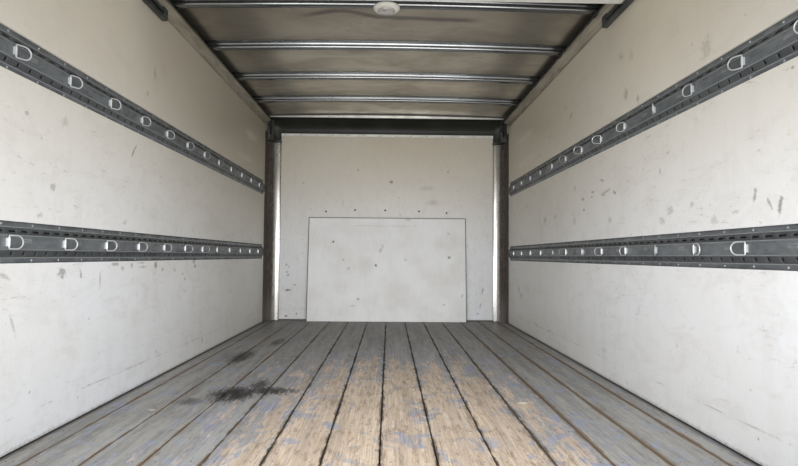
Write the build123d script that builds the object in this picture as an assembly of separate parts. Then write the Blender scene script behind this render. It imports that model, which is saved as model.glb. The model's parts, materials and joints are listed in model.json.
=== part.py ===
from build123d import *

import os
from math import atan2, cos, degrees, hypot, pi, radians, sin, sqrt, tan

# Cargo body of a small box truck, seen from its open rear doorway.
# Millimetres. +X is to the right when looking forward, +Y is forward, +Z is up.
# Z = 0 is the underside of the two long sills, and X = Y = 0 is the middle of the whole body.

# Load space
inside_length = 4880.0
inside_width = 2340.0
bow_underside_height = 1925.0

# Floor frame
sill_height = 102.0
sill_flange = 44.0
sill_web = 6.0
sill_spacing = 864.0
crossmember_height = 76.0
crossmember_flange = 58.0
crossmember_web = 5.0
crossmember_pitch = 304.8
floor_thickness = 32.0
plank_pitch = 180.0
plank_gap = 5.0
tie_hole_radius = 8.75
tie_hole_spacing = 76.0
tie_distance_from_ends = 700.0

# Walls and their rails
panel_thickness = 22.0
rail_wall = 4.0
bottom_rail_depth_below_floor = 100.0
bottom_rail_height = 150.0
rub_bead = 14.0
rub_bead_height = 36.0
top_rail_lip_drop = 43.0
top_rail_stand = 6.0
top_rail_ledge = 62.0
top_rail_slope = 28.0
top_rail_step = 8.0
top_rail_outer_drop = 95.0
rail_groove_width = 4.0
rail_groove_depth = 1.5
rail_groove_shares = (0.3, 0.7)

# Roof
bow_pitch = 609.6
bow_depth = 44.0
bow_base_width = 40.0
bow_flange = 18.0
bow_sheet = 3.0
bow_bead = 3.0
bow_bead_shares = (0.25, 0.5, 0.75)
last_bow_gap = 100.0
first_bow_edge = 810.0
bow_end_overlap = 46.0
bow_end_gap = 2.0
bow_chords = 4
roof_crown = 18.0
roof_sheet = 1.6
header_lip_distance = 250.0
header_lip_rise = 25.0
header_lip_reach = 24.0
dome_light_bow = 3
dome_light_radius = 70.0
dome_light_depth = 30.0
dome_lens_radius = 54.0
dome_light_sides = 20

# Front end
corner_inside_radius = 115.0
corner_flange = 85.0
corner_sheet = 3.0
corner_post_drop = 165.0
front_panel_drop = 81.0
nose_radius = 140.0
nose_sheet = 3.0
nose_lap = 40.0
front_cap_height = 26.0
gusset_reach = 65.0
gusset_slot_width = 16.0
gusset_slot_height = 90.0

# Bulkhead board that leans on the front wall
board_width = 1552.0
board_height = 1016.0
board_thickness = 12.0
board_foot_distance = 100.0
board_centre_x = 6.0

# Cargo rails and lashing rings
cargo_rail_height = 134.0
cargo_rail_depth = 12.7
cargo_rail_sheet = 2.5
cargo_rail_flange = 18.0
cargo_rail_slope = 26.0
cargo_rail_recess = 10.0
cargo_rail_centres = {"lower": 668.0, "upper": 1273.0}
cargo_rail_front_gap = 205.0
cargo_rail_rear_gap = 90.0
ring_pitch = 304.8
first_ring_distance = 445.0
last_ring_gap = 30.0
ring_rod = 5.0
ring_height = 47.0
ring_length = 52.0
ring_end_chords = 3
ring_clear_of_web = 5.0
ring_saddle_wall = 3.4
ring_bore_clearance = 0.6
ring_end_clearance = 4.0
fixed_ring_sides = 4
swing_ring_sides = 8

# Angle between a ring and its rail, and the few rings that hang differently:
# their rail, their number counted from the front, and their angle.
ring_rest_angle = 26.0
odd_rings = {
    ("right", "upper"): {5: 38.0, 6: 47.0, 7: 46.0, 9: 150.0, 10: 12.0},
    ("right", "lower"): {3: 42.0, 4: 164.0, 5: 42.0, 6: 175.0, 8: 9.0, 9: 155.0, 10: 176.0},
    ("left", "lower"): {4: 38.0, 5: 41.0, 6: 39.0, 11: 18.0},
}

# Rear frame and its roll-up door
rear_post_width = 95.0
rear_header_depth = 193.0
frame_depth = 70.0
frame_wall = 4.0
frame_above_roof = 6.0
rear_sill_height = 176.0
track_width = 26.0
track_depth = 44.0
track_sheet = 2.0
track_mouth = 14.0
track_radius = 250.0
track_plane = 45.0
track_below_bows = 60.0
track_run = 2205.0
track_clear_of_rail = 1.0
door_panel_count = 7
door_panel_height = 260.0
door_panel_thickness = 16.0
door_panel_gap = 4.0
door_start = 232.0
door_side_gap = 6.0
hinge_columns = 5
hinge_width = 60.0
hinge_length = 70.0
hinge_sheet = 3.0
spring_radius = 24.0
shaft_radius = 12.7
drum_radius = 38.0
drum_width = 40.0
spring_length = 700.0
shaft_below_bows = 2.0
shaft_distance = 60.0
shaft_sides = 8
drum_sides = 12
bracket_half_height = 26.0
bracket_clearance = 0.3

# Lamps
marker_length = 64.0
marker_height = 26.0
marker_depth = 14.0
marker_pitch = 178.0
tail_lamp_radius = 54.0
tail_lamp_flange = 3.0
tail_lamp_depth = 20.0
tail_lamp_gap = 30.0
tail_lamp_edge = 40.0
tail_lamp_sides = 12
lamp_clearance = 1.0

# Length by which a cutting shape runs past what it cuts
spare = 100.0

# Heights above the underside of the sills
floor_underside = sill_height + crossmember_height
floor_top = floor_underside + floor_thickness
bow_underside = floor_top + bow_underside_height
bow_top = bow_underside + bow_depth
frame_top = bow_top + roof_crown + frame_above_roof
header_underside = frame_top - rear_header_depth
post_top = bow_underside - corner_post_drop
front_panel_top = bow_underside - front_panel_drop

# Places along the length
overall_length = frame_depth + inside_length + panel_thickness + corner_sheet + 2 * marker_depth
rear_face = -overall_length / 2 + marker_depth
rear_inner = rear_face + frame_depth
front_inner = rear_inner + inside_length
front_outer = front_inner + panel_thickness
skin_front = front_outer + corner_sheet

# Places across the width
wall_inner = inside_width / 2
wall_outer = wall_inner + panel_thickness
skin_outer = wall_outer + corner_sheet
rail_outer = wall_outer + rail_wall
frame_half_width = rail_outer + rub_bead
doorway_half_width = frame_half_width - rear_post_width
sides = {"left": -1, "right": 1}

# The rings' hinge axes and the half-length of their saddles
ring_web_x = wall_inner + cargo_rail_recess - cargo_rail_depth
ring_axis_x = ring_web_x - ring_clear_of_web - ring_rod / 2
ring_radius = (ring_height - ring_rod) / 2
saddle_half_height = ring_radius - ring_rod / 2 - ring_end_clearance

# How many rings fit along a rail, and how many bows along the roof
ring_span = inside_length - cargo_rail_rear_gap - last_ring_gap - first_ring_distance
ring_count = int(ring_span // ring_pitch) + 1
bow_span = inside_length - last_bow_gap - first_bow_edge - bow_base_width
bow_count = int(bow_span // bow_pitch) + 1

# The roof's arc has one centre for the bows and for the skin.
bow_half = wall_inner - top_rail_ledge + bow_end_overlap
bow_radius = (bow_half ** 2 + roof_crown ** 2) / (2 * roof_crown)
roof_centre = bow_underside + roof_crown - bow_radius
skin_radius = bow_radius + bow_depth


def block(x0, x1, y0, y1, z0, z1):
    """Box between two corners."""
    return Pos((x0 + x1) / 2, (y0 + y1) / 2, (z0 + z1) / 2) * Box(abs(x1 - x0), abs(y1 - y0), abs(z1 - z0))


def outline(points):
    """Flat face through a closed list of points."""
    return make_face(Polyline(*points, close=True))


def along_y(points, y0, y1):
    """Prism whose section is a list of (x, z) points."""
    section = outline([(x, 0, z) for x, z in points])
    return extrude(section, amount=y1 - y0, dir=(0, 1, 0)).moved(Pos(0, y0, 0))


def along_x(points, x0, x1):
    """Prism whose section is a list of (y, z) points."""
    section = outline([(0, y, z) for y, z in points])
    return extrude(section, amount=x1 - x0, dir=(1, 0, 0)).moved(Pos(x0, 0, 0))


def along_z(section, z0, z1):
    """Prism of a face drawn in the XY plane."""
    return extrude(section, amount=z1 - z0, dir=(0, 0, 1)).moved(Pos(0, 0, z0))


def rod(start, end, radius):
    """Round bar between two points."""
    a = Vector(*start)
    b = Vector(*end)
    return Plane(origin=a, z_dir=b - a) * extrude(Circle(radius), (b - a).length)


def mirrored(side, shape):
    """The right-hand shape as it is, or its mirror image on the left."""
    return shape if side > 0 else mirror(shape, about=Plane.YZ)


def save(name, shapes):
    """Writes one sub-part, keeping its pieces as separate solids."""
    pieces = shapes if isinstance(shapes, list) else [shapes]
    solids = [solid for piece in pieces for solid in piece.solids()]
    whole = solids[0] if len(solids) == 1 else Compound(children=solids)
    export_step(whole, os.path.join("parts", name + ".step"))


def long_sill(side):
    """Channel on which the body rests, with holes for the plates that tie it to a chassis."""
    outer = sill_spacing / 2 + sill_web / 2
    inner = outer - sill_flange
    sill = along_y(
        [
            (outer, 0),
            (outer, sill_height),
            (inner, sill_height),
            (inner, sill_height - sill_web),
            (outer - sill_web, sill_height - sill_web),
            (outer - sill_web, sill_web),
            (inner, sill_web),
            (inner, 0),
        ],
        rear_inner,
        front_inner,
    )
    middle = (rear_inner + front_inner) / 2
    station = inside_length / 2 - tie_distance_from_ends
    for end in (-1, 1):
        for step in (-0.5, 0.5):
            y = middle + end * station + step * tie_hole_spacing
            sill -= rod((inner, y, sill_height / 2), (outer + sill_web, y, sill_height / 2), tie_hole_radius)
    return mirrored(side, sill)


def crossmembers():
    """I-beams across the sills, clipped inside the bottom rails."""
    half = crossmember_flange / 2
    web = crossmember_web / 2
    low = sill_height
    high = floor_underside
    section = [
        (-half, low),
        (half, low),
        (half, low + crossmember_web),
        (web, low + crossmember_web),
        (web, high - crossmember_web),
        (half, high - crossmember_web),
        (half, high),
        (-half, high),
        (-half, high - crossmember_web),
        (-web, high - crossmember_web),
        (-web, low + crossmember_web),
        (-half, low + crossmember_web),
    ]
    count = int((inside_length - crossmember_flange) // crossmember_pitch) + 1
    first = (rear_inner + front_inner - (count - 1) * crossmember_pitch) / 2
    beam = along_x(section, -wall_outer, wall_outer)
    return [beam.moved(Pos(0, first + i * crossmember_pitch, 0)) for i in range(count)]


def bottom_rail(side):
    """Extrusion that carries the foot of a side wall, with a rounded rubbing bead outside."""
    low = floor_top - bottom_rail_depth_below_floor
    high = low + bottom_rail_height
    bead_middle = low + bottom_rail_height / 3
    front = front_inner - corner_inside_radius
    plate = block(wall_outer, rail_outer, rear_inner, front, low, high)
    bead_face = Plane.XZ * Pos(rail_outer, bead_middle) * Ellipse(rub_bead, rub_bead_height / 2)
    bead = extrude(bead_face, amount=front - rear_inner, dir=(0, 1, 0)).moved(Pos(0, rear_inner, 0))
    bead &= block(wall_outer + rail_wall / 2, rail_outer + 2 * rub_bead, rear_face, skin_front, low, high)
    return mirrored(side, plate + bead)


def floor_boards():
    """Planks on the crossmembers, with open seams and narrower boards beside the walls."""
    count = int(inside_width // plank_pitch) // 2
    edges = [i * plank_pitch for i in range(-count, count + 1)]
    edges = [-wall_inner - plank_gap / 2] + edges + [wall_inner + plank_gap / 2]
    boards = []
    for left, right in zip(edges, edges[1:]):
        x0 = left + plank_gap / 2
        x1 = right - plank_gap / 2
        board = block(x0, x1, rear_inner, front_inner, floor_underside, floor_top)
        boards.append(board & nose_form(nose_sheet))
    return boards


def rail_span():
    """Rear and front ends of the cargo rails."""
    return rear_inner + cargo_rail_rear_gap, front_inner - cargo_rail_front_gap


def side_panel(side):
    """Side wall, routed on the inside for the two cargo rails."""
    rear, front = rail_span()
    end = front_inner - corner_inside_radius
    panel = block(wall_inner, wall_outer, rear_inner, end, floor_underside, bow_underside - rail_wall)
    for centre in cargo_rail_centres.values():
        middle = floor_top + centre
        panel -= block(
            wall_inner - rail_wall,
            wall_inner + cargo_rail_recess,
            rear,
            front,
            middle - cargo_rail_height / 2,
            middle + cargo_rail_height / 2,
        )
    return mirrored(side, panel)


def top_rail(side):
    """Hollow extrusion over a side wall, with the sloping ledge that carries the bows."""
    lip = bow_underside - top_rail_lip_drop
    face = wall_inner - top_rail_stand
    ledge = wall_inner - top_rail_ledge
    slope_end = bow_underside - top_rail_step
    slope_start = slope_end - top_rail_slope
    rear = rear_inner
    front = front_inner - header_lip_distance
    wedge = along_y(
        [
            (wall_inner, lip),
            (face, lip),
            (face, slope_start),
            (ledge, slope_end),
            (ledge, bow_underside),
            (wall_inner, bow_underside),
        ],
        rear,
        front,
    )
    hollow = along_y(
        [
            (wall_inner - rail_wall / 2, slope_start + rail_wall),
            (ledge + rail_wall, slope_end + rail_wall / 2),
            (ledge + rail_wall, bow_underside - rail_wall),
            (wall_inner - rail_wall / 2, bow_underside - rail_wall),
        ],
        rear,
        front,
    )
    wedge -= hollow
    for share in rail_groove_shares:
        x = face + share * (ledge - face)
        z = slope_start + share * (slope_end - slope_start)
        cutter = Rot(0, degrees(atan2(ledge - face, slope_end - slope_start)), 0) * Box(
            2 * rail_groove_depth, front - rear, rail_groove_width
        )
        wedge -= cutter.moved(Pos(x, (rear + front) / 2, z))
    cover = block(wall_inner, rail_outer, rear, front, bow_underside - rail_wall, bow_underside)
    leg = block(wall_inner, wall_inner + rail_wall, rear, front, bow_underside, bow_top)
    shelf = block(bow_half + bow_end_gap, rail_outer, rear, front, bow_top - rail_wall, bow_top + rail_wall)
    flange = block(wall_outer, rail_outer, rear, front, bow_top - top_rail_outer_drop, bow_top)
    rail = wedge + cover + leg + shelf + flange - above_skin(0)
    return mirrored(side, rail)


def above_skin(lift):
    """Everything higher than the roof skin's underside, raised by lift."""
    radius = skin_radius + lift
    reach = frame_half_width + spare
    edge = roof_centre + sqrt(radius ** 2 - reach ** 2)
    high = roof_centre + radius + spare
    arc = ThreePointArc((-reach, 0, edge), (0, 0, roof_centre + radius), (reach, 0, edge))
    rest = Polyline((reach, 0, edge), (reach, 0, high), (-reach, 0, high), (-reach, 0, edge))
    face = make_face(Curve() + [arc, rest])
    return extrude(face, amount=2 * overall_length, dir=(0, 1, 0)).moved(Pos(0, -overall_length, 0))


def roof_skin():
    """Crowned sheet from the rear header to the nose."""
    front = front_inner - header_lip_distance
    sheet = block(-rail_outer, rail_outer, rear_inner, front, bow_underside, frame_top + roof_crown)
    return (sheet & above_skin(0)) - above_skin(roof_sheet)


def bow_place(index):
    """Y of the middle of a roof bow."""
    return front_inner - first_bow_edge - index * bow_pitch - bow_base_width / 2


def bow_path():
    """Underside of a bow, as straight chords of the roof's arc."""
    points = []
    for i in range(bow_chords + 1):
        x = bow_half * (2 * i / bow_chords - 1)
        points.append((x, 0, roof_centre + sqrt(bow_radius ** 2 - x ** 2)))
    return Polyline(*points)


def roof_bow():
    """Hat section with two rounded beads along each web, run across the roof."""
    base = bow_base_width / 2
    out = base + bow_flange
    t = bow_sheet
    low_bead, groove, high_bead = (share * bow_depth for share in bow_bead_shares)
    right = [
        (base, 0),
        (base + bow_bead, low_bead),
        (base, groove),
        (base + bow_bead, high_bead),
        (base + t, bow_depth - t),
        (out, bow_depth - t),
        (out, bow_depth),
        (base, bow_depth),
        (base + bow_bead - t, high_bead),
        (base - t, groove),
        (base + bow_bead - t, low_bead),
        (base - t, t),
    ]
    left = [(-y, z) for y, z in reversed(right)]
    section = make_face(Polyline(*right, *left, close=True))
    path = bow_path()
    start = Plane(origin=path @ 0, x_dir=(0, 1, 0), z_dir=path % 0)
    return sweep(start * section, path=path, transition=Transition.RIGHT)


def roof_bows():
    bow = roof_bow()
    return [bow.moved(Pos(0, bow_place(i), 0)) for i in range(bow_count)]


def round_plate(radius, sides, low, high):
    """Flat-sided disc about the Z axis."""
    return along_z(RegularPolygon(radius, sides), low, high)


def dome_light():
    """Round interior lamp under a bow: its bezel and its lens."""
    foot = bow_path() @ (0.5 + dome_light_radius / (2 * bow_half))
    low = foot.Z - dome_light_depth
    middle = foot.Z - dome_light_depth / 2
    bezel = round_plate(dome_light_radius, dome_light_sides, middle, foot.Z)
    lens = round_plate(dome_lens_radius, dome_light_sides, low, middle)
    return (bezel + lens).moved(Pos(0, bow_place(dome_light_bow), 0))


def header_bow():
    """Folded sheet across the front end of the roof, with the lip that shows from inside."""
    rear = front_inner - header_lip_distance
    low = bow_underside + header_lip_rise
    t = bow_sheet
    top = bow_top + roof_crown + roof_sheet - nose_sheet
    section = [
        (rear, low),
        (rear + header_lip_reach, low),
        (rear + header_lip_reach, low + t),
        (rear + t, low + t),
        (rear + t, top),
        (rear, top),
    ]
    return along_x(section, -wall_outer, wall_outer)


def front_panel():
    """Flat front wall between the corner posts."""
    edge = wall_inner - corner_inside_radius
    return block(-edge, edge, front_inner, front_outer, floor_underside, front_panel_top - rail_wall)


def front_panel_cap():
    """Channel over the top edge of the front wall."""
    edge = wall_inner - corner_inside_radius
    t = rail_wall / 2
    low = front_panel_top - front_cap_height
    section = [
        (front_inner - t, low),
        (front_inner, low),
        (front_inner, front_panel_top - rail_wall),
        (front_outer, front_panel_top - rail_wall),
        (front_outer, front_panel_top),
        (front_inner - t, front_panel_top),
    ]
    return along_x(section, -edge, edge)


def nose_form(offset):
    """Outer form of the front end, moved inwards by offset: rounded in plan and over the top."""
    x = skin_outer - offset
    y = skin_front - offset
    corner = corner_inside_radius + panel_thickness + corner_sheet - offset
    nose = nose_radius - offset
    top = bow_top + roof_crown + roof_sheet - offset
    plan = Rectangle(2 * x, 2 * y)
    plan = fillet(plan.vertices().filter_by(lambda v: v.Y > 0), corner)
    tall = extrude(plan, amount=top + spare, dir=(0, 0, 1))
    profile = Plane.YZ * Rectangle(2 * y, 2 * top)
    profile = fillet(profile.vertices().filter_by(lambda v: v.Y > 0 and v.Z > 0), nose)
    wide = extrude(profile, amount=2 * (x + spare), dir=(1, 0, 0)).moved(Pos(-x - spare, 0, 0))
    return tall & wide


def nose_shell():
    """Sheet of the front end's form, as thick as the nose's skin."""
    return nose_form(0) - nose_form(nose_sheet)


def nose_cap():
    """Curved sheet from the top of the front wall back to the roof skin."""
    edge = wall_inner - corner_inside_radius
    low = front_panel_top - nose_lap
    keep = block(-edge, edge, front_inner - header_lip_distance, skin_front, low, frame_top + spare)
    return nose_shell() & keep


def corner_cap(side):
    """Moulded corner between the front post, the nose and the roof."""
    edge = wall_inner - corner_inside_radius
    rear = front_inner - header_lip_distance
    keep = block(edge, skin_outer, rear, skin_front, post_top, frame_top + spare)
    return mirrored(side, nose_shell() & keep)


def front_corner(side):
    """Radius corner post: a hollow curved section with flanges over the panels' edges."""
    centre_x = wall_inner - corner_inside_radius
    centre_y = front_inner - corner_inside_radius
    t = corner_sheet
    outer = corner_inside_radius + panel_thickness + t
    place = Pos(centre_x, centre_y)
    quarter = Pos(centre_x + outer / 2, centre_y + outer / 2) * Rectangle(outer, outer)
    ring = place * (Circle(outer) - Circle(corner_inside_radius - t))
    hollow = place * (Circle(outer - t) - Circle(corner_inside_radius))
    wall = (ring - hollow) & quarter
    side_web = Pos(wall_inner + panel_thickness / 2, centre_y + t / 2) * Rectangle(panel_thickness + t, t)
    front_web = Pos(centre_x + t / 2, front_inner + panel_thickness / 2) * Rectangle(t, panel_thickness + t)
    inner_flange = Pos(wall_inner - t / 2, centre_y - corner_flange / 2) * Rectangle(t, corner_flange)
    outer_flange = Pos(wall_outer + t / 2, centre_y - corner_flange / 2) * Rectangle(t, corner_flange)
    lap = corner_flange / 2
    front_flange = Pos(centre_x - lap / 2, front_outer + t / 2) * Rectangle(lap, t)
    section = wall + side_web + front_web + inner_flange + outer_flange + front_flange
    low = floor_top - bottom_rail_depth_below_floor
    rail_top = low + bottom_rail_height
    post = along_z(section, floor_top, post_top)
    post -= block(wall_outer, skin_outer, centre_y - corner_flange, centre_y, floor_top, rail_top)
    post -= block(centre_x - lap, centre_x, front_outer, skin_front, floor_top, rail_top)
    skirt = along_z(wall - (place * Circle(outer - t)), low, floor_top)
    return mirrored(side, post + skirt)


def corner_gusset(side):
    """Folded plate above a corner post, with its upright slot, and the plate that caps the post."""
    inner = wall_inner - gusset_reach
    top = bow_underside + header_lip_rise
    t = corner_sheet
    rear = front_inner - cargo_rail_front_gap + t
    front = front_inner - corner_inside_radius
    plate = block(inner, wall_inner, front, front + t, post_top, top)
    slot_middle = (post_top + top) / 2
    slot_x = wall_inner - gusset_reach / 2
    plate -= block(
        slot_x - gusset_slot_width / 2,
        slot_x + gusset_slot_width / 2,
        front - t,
        front + 2 * t,
        slot_middle - gusset_slot_height / 2,
        slot_middle + gusset_slot_height / 2,
    )
    lip = block(wall_inner - t, wall_inner, rear, front, post_top, bow_underside - top_rail_outer_drop)
    return mirrored(side, plate + lip)


def front_bottom_rail():
    """Sheet across the foot of the front wall."""
    edge = wall_inner - corner_inside_radius
    low = floor_top - bottom_rail_depth_below_floor
    return block(-edge, edge, front_outer, skin_front, low, low + bottom_rail_height)


def bulkhead_board():
    """Loose panel that stands on the floor and leans on the front wall."""
    lean = degrees(atan2(board_foot_distance, board_height))
    board = Pos(0, board_thickness / 2, board_height / 2) * Box(board_width, board_thickness, board_height)
    board = Rot(-lean, 0, 0) * board
    box = board.bounding_box()
    return board.moved(Pos(board_centre_x, front_inner - box.max.Y, floor_top - box.min.Z))


def cargo_rail(side, level):
    """Logistic rail: a folded strip whose raised web carries the lashing rings."""
    rear, front = rail_span()
    t = cargo_rail_sheet
    fold = t * tan(atan2(cargo_rail_depth - t, cargo_rail_slope) / 2)
    low = floor_top + cargo_rail_centres[level] - cargo_rail_height / 2
    back = wall_inner + cargo_rail_recess
    high = cargo_rail_height
    flange = cargo_rail_flange
    web = flange + cargo_rail_slope
    depth = cargo_rail_depth
    section = [
        (0, 0),
        (t, 0),
        (t, flange),
        (depth, web),
        (depth, high - web),
        (t, high - flange),
        (t, high),
        (0, high),
        (0, high - flange - fold),
        (depth - t, high - web - fold),
        (depth - t, web + fold),
        (0, flange + fold),
    ]
    return mirrored(side, along_y([(back - u, low + v) for u, v in section], rear, front))


def ring_place(side_name, level, index):
    """Where a ring's hinge axis is, with the ring's angle, counted from the front."""
    y = front_inner - first_ring_distance - index * ring_pitch
    angle = odd_rings.get((side_name, level), {}).get(index, ring_rest_angle)
    return Pos(ring_axis_x, y, floor_top + cargo_rail_centres[level]), angle


def rod_section(half_width, count):
    """Flat-sided section of a rod, with flats square to its frame."""
    return RegularPolygon(half_width, count, major_radius=False, rotation=180 / count)


def ring_loop(count):
    """Closed ring on its hinge axis at the origin, lying towards +Y."""
    reach = ring_length - ring_rod - ring_radius
    half = ring_radius
    points = [(0, 0, -half)]
    for i in range(ring_end_chords + 1):
        turn = radians(180 * i / ring_end_chords - 90)
        points.append((0, reach + half * cos(turn), half * sin(turn)))
    points.append((0, 0, half))
    section = rod_section(ring_rod / 2, count)
    start = Plane(origin=points[0], x_dir=(1, 0, 0), z_dir=(0, 1, 0))
    arms = sweep(start * section, path=Polyline(*points), transition=Transition.RIGHT)
    return arms + along_z(section, -half - ring_rod / 2, half + ring_rod / 2)


def ring_saddle(bored):
    """Bracket that holds a ring's straight bar: half an octagon on a foot, seated on the rail's web."""
    outer = ring_rod / 2 + ring_bore_clearance + ring_saddle_wall
    corner = outer * tan(pi / 8)
    seat = ring_web_x - ring_axis_x
    upper = [(seat, outer), (-corner, outer), (-outer, corner)]
    lower = [(x, -y) for x, y in reversed(upper)]
    section = make_face(Polyline(*upper, *lower, close=True))
    if bored:
        section -= rod_section(ring_rod / 2 + ring_bore_clearance, swing_ring_sides)
    return along_z(section, -saddle_half_height, saddle_half_height)


def fixed_rings(side_name, level):
    """One rail's rings and saddles that don't move, and the saddle of the ring that does."""
    loop = ring_loop(fixed_ring_sides)
    pieces = []
    for index in range(ring_count):
        place, angle = ring_place(side_name, level, index)
        swings = index == ring_count - 1
        piece = ring_saddle(swings)
        if not swings:
            piece += Rot(0, 0, angle) * loop
        pieces.append(mirrored(sides[side_name], piece.moved(place)))
    return pieces


def moving_ring(side_name, level):
    """The ring nearest the doorway, which swings in its saddle."""
    place, angle = ring_place(side_name, level, ring_count - 1)
    loop = Rot(0, 0, angle) * ring_loop(swing_ring_sides)
    return mirrored(sides[side_name], loop.moved(place))


def rear_post(side):
    """Hollow post beside the doorway."""
    inner = doorway_half_width
    t = frame_wall
    outer = frame_half_width
    post = block(inner, outer, rear_face, rear_inner, floor_top, header_underside)
    post -= block(inner + t, outer - t, rear_face + t, rear_inner - t, floor_top, header_underside)
    return mirrored(side, post)


def rear_header():
    """Hollow beam over the doorway."""
    t = frame_wall
    half = frame_half_width
    beam = block(-half, half, rear_face, rear_inner, header_underside, frame_top)
    beam -= block(-half + t, half - t, rear_face + t, rear_inner - t, header_underside + t, frame_top - t)
    return beam


def lamp_places():
    """Middles of the round lamps in the rear sill, as X and Z."""
    step = 2 * tail_lamp_radius + tail_lamp_gap
    outer = frame_half_width - tail_lamp_radius - tail_lamp_edge
    z = floor_top - rear_sill_height / 2
    return [(side * (outer - i * step), z) for side in sides.values() for i in range(2)]


def lamp_disc(x, z, radius, y0, y1):
    """Flat-sided disc about an axis along the body."""
    start = Plane(origin=(x, y0, z), x_dir=(1, 0, 0), z_dir=(0, 1, 0))
    return extrude(start * RegularPolygon(radius, tail_lamp_sides), amount=y1 - y0, dir=(0, 1, 0))


def rear_sill():
    """Folded channel under the doorway, open to the front, with holes for the round lamps."""
    t = frame_wall
    half = frame_half_width
    low = floor_top - rear_sill_height
    sill = block(-half, half, rear_face, rear_inner, low, floor_top)
    sill -= block(-half - t, half + t, rear_face + t, rear_inner + t, low + t, floor_top - t)
    for x, z in lamp_places():
        sill -= lamp_disc(x, z, tail_lamp_radius + lamp_clearance, rear_face - t, rear_face + 2 * t)
    return sill


def round_lamp(x, z):
    """Lamp in the rear sill: a flush lens, with a wider body against the back of the sheet."""
    seat = rear_face + frame_wall
    lens = lamp_disc(x, z, tail_lamp_radius, rear_face, seat)
    return lens + lamp_disc(x, z, tail_lamp_radius + tail_lamp_flange, seat, rear_face + tail_lamp_depth)


def marker(x, y, z, facing):
    """Small oblong lamp whose back is at y, facing +Y or -Y."""
    half = marker_length / 2
    body = block(x - half, x + half, y, y + facing * marker_depth, z, z + marker_height)
    front = body.faces().sort_by(Axis.Y)[-1 if facing > 0 else 0]
    return chamfer(front.edges(), marker_depth / 3)


def front_markers():
    """Lamps at the front end's upper corners."""
    x = wall_inner - corner_inside_radius - marker_length
    z = front_panel_top - nose_lap - 2 * marker_height
    return [marker(side * x, skin_front, z, 1) for side in sides.values()]


def rear_markers():
    """Lamps on the rear header: one at each end and three in the middle."""
    end = frame_half_width - marker_length
    z = (header_underside + frame_top - marker_height) / 2
    return [marker(x, rear_face, z, -1) for x in (-end, -marker_pitch, 0, marker_pitch, end)]


def track_points():
    """Bends of the door track's path in the YZ plane."""
    upright = rear_inner + track_plane
    level = bow_underside - track_below_bows
    return upright, level


def track_path():
    upright, level = track_points()
    r = track_radius
    bend = (upright + r * (1 - cos(pi / 4)), level - r * (1 - sin(pi / 4)))
    path = Line((0, upright, floor_top), (0, upright, level - r))
    path += ThreePointArc((0, upright, level - r), (0, bend[0], bend[1]), (0, upright + r, level))
    path += Line((0, upright + r, level), (0, rear_inner + track_run, level))
    return path


def track_outer_x():
    return wall_inner - top_rail_stand - track_clear_of_rail


def door_track(side):
    """Channel that guides the door's rollers up beside the doorway and forward under the roof."""
    upright, level = track_points()
    outer = track_outer_x()
    inner = outer - track_width
    t = track_sheet
    section = Rectangle(track_width, track_depth)
    section -= Rectangle(track_width - 2 * t, track_depth - 2 * t)
    section -= Pos(-track_width / 2, 0) * Rectangle(3 * t, track_mouth)
    middle = (outer + inner) / 2
    face = Plane(origin=(middle, upright, floor_top), x_dir=(1, 0, 0), z_dir=(0, 0, 1)) * section
    track = sweep(face, path=track_path().moved(Pos(middle, 0, 0)))
    end = rear_inner + track_run
    stop = block(inner, outer, end - t, end, level - track_depth / 2, level + track_depth / 2)
    return mirrored(side, track + stop)


def point_on_track(distance):
    """Y and Z of a point on the track's path, measured forward from the start of its bend."""
    upright, level = track_points()
    r = track_radius
    turn = distance / r
    if turn < pi / 2:
        return upright + r * (1 - cos(turn)), level - r * (1 - sin(turn))
    return upright + r + distance - r * pi / 2, level


def door_joints():
    """Y and Z of each hinge line of the open door, from its foot to its leading edge."""
    points = []
    for i in range(door_panel_count + 1):
        points.append(point_on_track(door_start + i * door_panel_height))
    return points


def door_panels():
    """Wooden panels of the open roll-up door, stored overhead."""
    half = track_outer_x() - track_width - door_side_gap
    joints = door_joints()
    panels = []
    for (y0, z0), (y1, z1) in zip(joints, joints[1:]):
        length = hypot(y1 - y0, z1 - z0) - door_panel_gap
        panel = Box(2 * half, length, door_panel_thickness)
        panel = Rot(degrees(atan2(z1 - z0, y1 - y0)), 0, 0) * panel
        panels.append(panel.moved(Pos(0, (y0 + y1) / 2, (z0 + z1) / 2)))
    return panels


def door_hinges():
    """Hinge straps on the inner face of the stored panels, which is their underside."""
    half = track_outer_x() - track_width - door_side_gap - hinge_width
    joints = door_joints()
    u = hinge_width / 2
    v = hinge_length / 2
    hinges = []
    for y, z in joints[2:door_panel_count]:
        top = z - door_panel_thickness / 2
        for column in range(hinge_columns):
            x = half * (2 * column / (hinge_columns - 1) - 1)
            hinges.append(block(x - u, x + u, y - v, y + v, top - hinge_sheet, top))
    return hinges


def shaft_place():
    """Half-length, Y and Z of the counterbalance shaft."""
    return bow_half - 2 * drum_width, rear_inner + shaft_distance, bow_underside - shaft_below_bows


def shaft_part(radius, count, x0, x1):
    """Flat-sided length of the counterbalance, about its own axis."""
    _, y, z = shaft_place()
    start = Plane(origin=(x0, y, z), x_dir=(0, 1, 0), z_dir=(1, 0, 0))
    return extrude(start * RegularPolygon(radius, count), amount=x1 - x0, dir=(1, 0, 0))


def counterbalance():
    """Shaft over the doorway with its spring and the cable drums."""
    half, _, _ = shaft_place()
    unit = shaft_part(shaft_radius, shaft_sides, -half, half)
    unit += shaft_part(spring_radius, drum_sides, -spring_length / 2, spring_length / 2)
    unit += shaft_part(drum_radius, drum_sides, -half, -half + drum_width)
    unit += shaft_part(drum_radius, drum_sides, half - drum_width, half)
    return unit


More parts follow.
